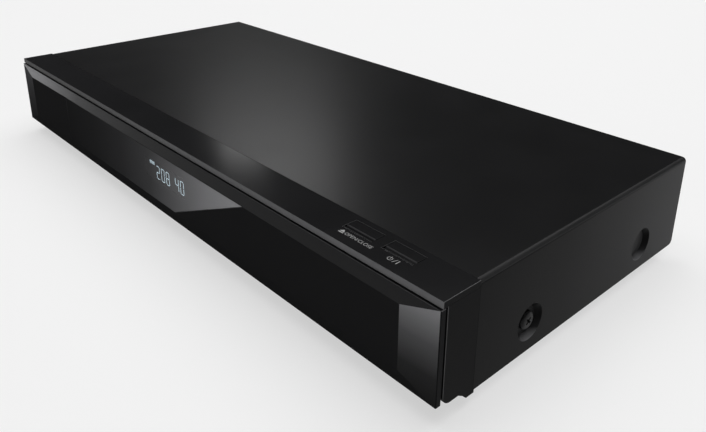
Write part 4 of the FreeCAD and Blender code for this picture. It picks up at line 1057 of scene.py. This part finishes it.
def make_panel():
    x0, x1, z0, z1 = lit_area
    return block("lit_panel", x0 - 7, x1 + 0.3, panel_front, module_low.y + 0.2, z0 - 4, z1 + 0.5)


def panel_finish():
    """The film's painted tones given off as a painted glow, on a black block."""
    material, shader = painted_film_reflection("panel_painted_glow")
    ramp = shader.inputs["Base Color"].links[0]
    material.node_tree.links.new(ramp.from_socket, shader.inputs["Emission Color"])
    material.node_tree.links.remove(ramp)
    shader.inputs["Emission Strength"].default_value = painted_glow_strength
    return material


dress(soften(make_panel(), 0.2, 2), panel_finish(), "readout_glass", "chassis")


# %% Segments
def bar(name, x0, z0, x1, z1, y):
    """One segment: a thin bar with pointed ends between two points."""
    a, b = Vector((x0, z0)), Vector((x1, z1))
    along = (b - a).normalized()
    across = Vector((-along.y, along.x)) * segment / 2
    tip = along * segment / 2
    a, b = a + along * segment_gap, b - along * segment_gap
    outline = [a, a + tip + across, b - tip + across, b, b - tip - across, a + tip - across]
    return pushed(name, [(p.x, p.y) for p in outline], "y", y - 0.05, y)


def figure(character, x, y):
    w, h, z = digit_width, digit_height, digit_low
    ends = {"a": (0, h, w, h), "b": (w, h / 2, w, h), "c": (w, 0, w, h / 2), "d": (0, 0, w, 0),
            "e": (0, 0, 0, h / 2), "f": (0, h / 2, 0, h), "g": (0, h / 2, w, h / 2)}
    made = []
    for key in lit_bars[character]:
        x0, z0, x1, z1 = ends[key]
        made.append(bar("segment", x + x0, z + z0, x + x1, z + z1, y))
    return made


def make_figures():
    y = panel_front
    made = []
    x = digit_left
    for k, character in enumerate(digit_text):
        if k == figures_before_gap:
            x += digit_gap
        made += figure(character, x, y)
        x += digit_pitch
    for k in range(mark_bars):
        mark_x = mark_left + mark_pitch * k
        made.append(bar("mark", mark_x, mark_low, mark_x, mark_high, y))
    return join_pieces("lit_figures", made)


dress(make_figures(), lit_segments(), "readout_glass", "chassis")
print("figures stand", digit_height, "mm high")

# %% [markdown]
# ## Sharper copies of the mouldings
# Real mouldings and folded plates have no knife edges. The frame's own solids do, so the ones that show are
# copied, cleaned of doubled points and flat leftovers, and given a bevel of a few tenths of a millimetre that
# catches light. The copy then stands for its solid. The bezel's outer front edges draw a fine pale line beside the
# flap, so a plane first cuts a narrow border off those faces, and the border gets a lighter finish of its own, a
# painted highlight.

# %% Refined copies
def refined(node, width, finish):
    """A copy of a frame solid with clean faces and softly rounded edges, which stands for it."""
    clean = bmesh.new()
    clean.from_mesh(nodes[node].data)
    bmesh.ops.remove_doubles(clean, verts=clean.verts, dist=0.002 * mm)
    bmesh.ops.dissolve_limit(clean, angle_limit=math.radians(1), verts=clean.verts, edges=clean.edges)
    mesh = bpy.data.meshes.new("fine_" + node)
    clean.to_mesh(mesh)
    clean.free()
    piece = link("fine_" + node, mesh)
    soften(piece, width, 2, 32)
    return dress(piece, finish, slot_of[node], "chassis", node)


slot_of = {s["node"]: s["material_slot"] for s in frame["record"]["subparts"]}
# Painted highlight: a lighter black for the narrow border along the bezel's outer front edges.
bezel_painted_highlight = grained_finish("bezel_painted_highlight", (0.07, 0.07, 0.071), 0.4, 900, 0.01, specular=0.1)
highlight_border_width = 0.35
border_y = corners("front_bezel")[0].y + highlight_border_width


def split_at(piece, y):
    """Cuts a piece's faces along an upright plane across the width, and keeps both sides."""
    split = bmesh.new()
    split.from_mesh(piece.data)
    everything = list(split.verts) + list(split.edges) + list(split.faces)
    bmesh.ops.bisect_plane(split, geom=everything, dist=1e-7, plane_co=(0, y * mm, 0), plane_no=(0, 1, 0))
    split.to_mesh(piece.data)
    split.free()


def bezel_kind(face):
    """Which finish a face of the bezel gets: 1 the outer border at the front, a painted highlight, 0 the rest."""
    at_front = face.center.y < border_y * mm
    outside = abs(face.center.x) > (strip_high.x - 0.3) * mm and abs(face.normal.x) > 0.2
    return int(at_front and outside)


fine_bezel = refined("front_bezel", 0.25, bezel_black)
split_at(fine_bezel, border_y)
painted(fine_bezel, (bezel_painted_highlight,), bezel_kind)
fine_rear = refined("rear_panel", 0.15, rear_paint)
print("the bezel has", len(fine_bezel.data.polygons), "faces, the rear", len(fine_rear.data.polygons))

# %% [markdown]
# ## Finishes of what is carried over
# The sockets, boards and drive parts keep the shapes they have. What they need is a finish each: zinc-
# coated sheet with its faint spangle, green lacquered boards, plated shells, running gears in milky
# plastic, rubber feet.

# %% Inner finishes
def zinc_finish():
    material, tree, shader = new_finish("zinc_sheet", (0.42, 0.43, 0.44), 0.36, 0.9)
    vector = own_coordinates(tree)
    cells = tree.nodes.new("ShaderNodeTexVoronoi")
    cells.inputs["Scale"].default_value = 160
    tree.links.new(vector, cells.inputs["Vector"])
    gray = tree.nodes.new("ShaderNodeSeparateColor")
    tree.links.new(cells.outputs["Color"], gray.inputs["Color"])
    tree.links.new(spread(tree, gray.outputs["Red"], 0.28, 0.44, 0, 1), shader.inputs["Roughness"])
    tree.links.new(two_colors(tree, gray.outputs["Red"], (0.36, 0.37, 0.38), (0.50, 0.51, 0.52)),
                   shader.inputs["Base Color"])
    raise_grain(tree, shader, noise(tree, vector, 1500), 0.05, 0.1 * mm)
    return material


def board_finish():
    material, tree, shader = new_finish("board_green", (0.02, 0.12, 0.05), 0.3, 0.0, 0.5)
    vector = own_coordinates(tree)
    tracks = tree.nodes.new("ShaderNodeTexBrick")
    tracks.inputs["Scale"].default_value = 190
    tracks.inputs["Mortar Size"].default_value = 0.08
    tracks.inputs["Color1"].default_value = (0.016, 0.10, 0.045, 1)
    tracks.inputs["Color2"].default_value = (0.022, 0.13, 0.055, 1)
    tracks.inputs["Mortar"].default_value = (0.05, 0.19, 0.08, 1)
    tree.links.new(vector, tracks.inputs["Vector"])
    tree.links.new(tracks.outputs["Color"], shader.inputs["Base Color"])
    raise_grain(tree, shader, tracks.outputs["Fac"], 0.2, 0.05 * mm)
    return material


def ribbon_finish():
    material, tree, shader = new_finish("ribbon_white", (0.7, 0.7, 0.72), 0.4)
    vector = own_coordinates(tree)
    wave = tree.nodes.new("ShaderNodeTexWave")
    wave.bands_direction = "X"
    wave.inputs["Scale"].default_value = 300
    tree.links.new(vector, wave.inputs["Vector"])
    tree.links.new(two_colors(tree, wave.outputs["Fac"], (0.74, 0.75, 0.77), (0.45, 0.46, 0.5)),
                   shader.inputs["Base Color"])
    return material


def lens_finish():
    material, tree, shader = new_finish("lens_glass", (0.30, 0.36, 0.62), 0.05)
    clouds = noise(tree, own_coordinates(tree), 300)
    tree.links.new(two_colors(tree, spread(tree, clouds, 0, 1), (0.25, 0.3, 0.6), (0.4, 0.32, 0.62)),
                   shader.inputs["Base Color"])
    shader.inputs["Coat Weight"].default_value = 1.0
    return material


finishes = {"screw_black": screw_black, "bezel_black": bezel_black, "rear_paint": rear_paint,
            "zinc_sheet": zinc_finish(), "board_green": board_finish(), "ribbon_white": ribbon_finish(),
            "lens_glass": lens_finish()}


def add_finish(name, *values, **more):
    finishes[name] = grained_finish(name, *values, **more)


add_finish("bright_steel", (0.56, 0.56, 0.57), 0.26, 1500, 0.05, metallic=1.0)
add_finish("foot_rubber", (0.018, 0.018, 0.018), 0.62, 2600, 0.3, specular=0.35)
add_finish("readout_glass", (0.006, 0.007, 0.009), 0.1, 900, 0.01, specular=0.3)
add_finish("socket_metal", (0.62, 0.62, 0.63), 0.24, 1500, 0.06, metallic=1.0)
add_finish("socket_black", (0.014, 0.014, 0.014), 0.42, 2200, 0.12)
add_finish("tray_black", (0.017, 0.017, 0.018), 0.46, 2400, 0.18, specular=0.45)
add_finish("loader_grey", (0.045, 0.045, 0.048), 0.5, 2200, 0.16)
add_finish("gear_white", (0.72, 0.70, 0.64), 0.42, 1800, 0.06)
add_finish("belt_rubber", (0.014, 0.014, 0.014), 0.7, 2600, 0.3)
add_finish("motor_can", (0.52, 0.52, 0.52), 0.3, 1200, 0.06, metallic=1.0, stretch=(1, 1, 12))
add_finish("clamp_black", (0.025, 0.025, 0.027), 0.45, 2400, 0.12)
add_finish("drive_cast", (0.42, 0.43, 0.44), 0.42, 1400, 0.25, metallic=0.85)
add_finish("sink_alloy", (0.55, 0.55, 0.56), 0.34, 900, 0.1, metallic=1.0, stretch=(1, 14, 1))
add_finish("coil_core", (0.30, 0.22, 0.05), 0.45, 1100, 0.2)
add_finish("capacitor_sleeve", (0.012, 0.013, 0.035), 0.28, 1500, 0.03)
add_finish("fan_black", (0.016, 0.016, 0.017), 0.48, 2400, 0.14)


# %% Carried-over nodes
for name, node in nodes.items():
    if node.hide_render:
        continue
    node.data.materials.clear()
    node.data.materials.append(finishes[slot_of[name]])
print("carried over:", sum(not n.hide_render for n in nodes.values()), "nodes")

# %% [markdown]
# ## Closing
# The last step brings the scene up to date. The visual model has to stay inside the frame's own box.

# %% Bring the scene up to date
bpy.context.view_layer.update()
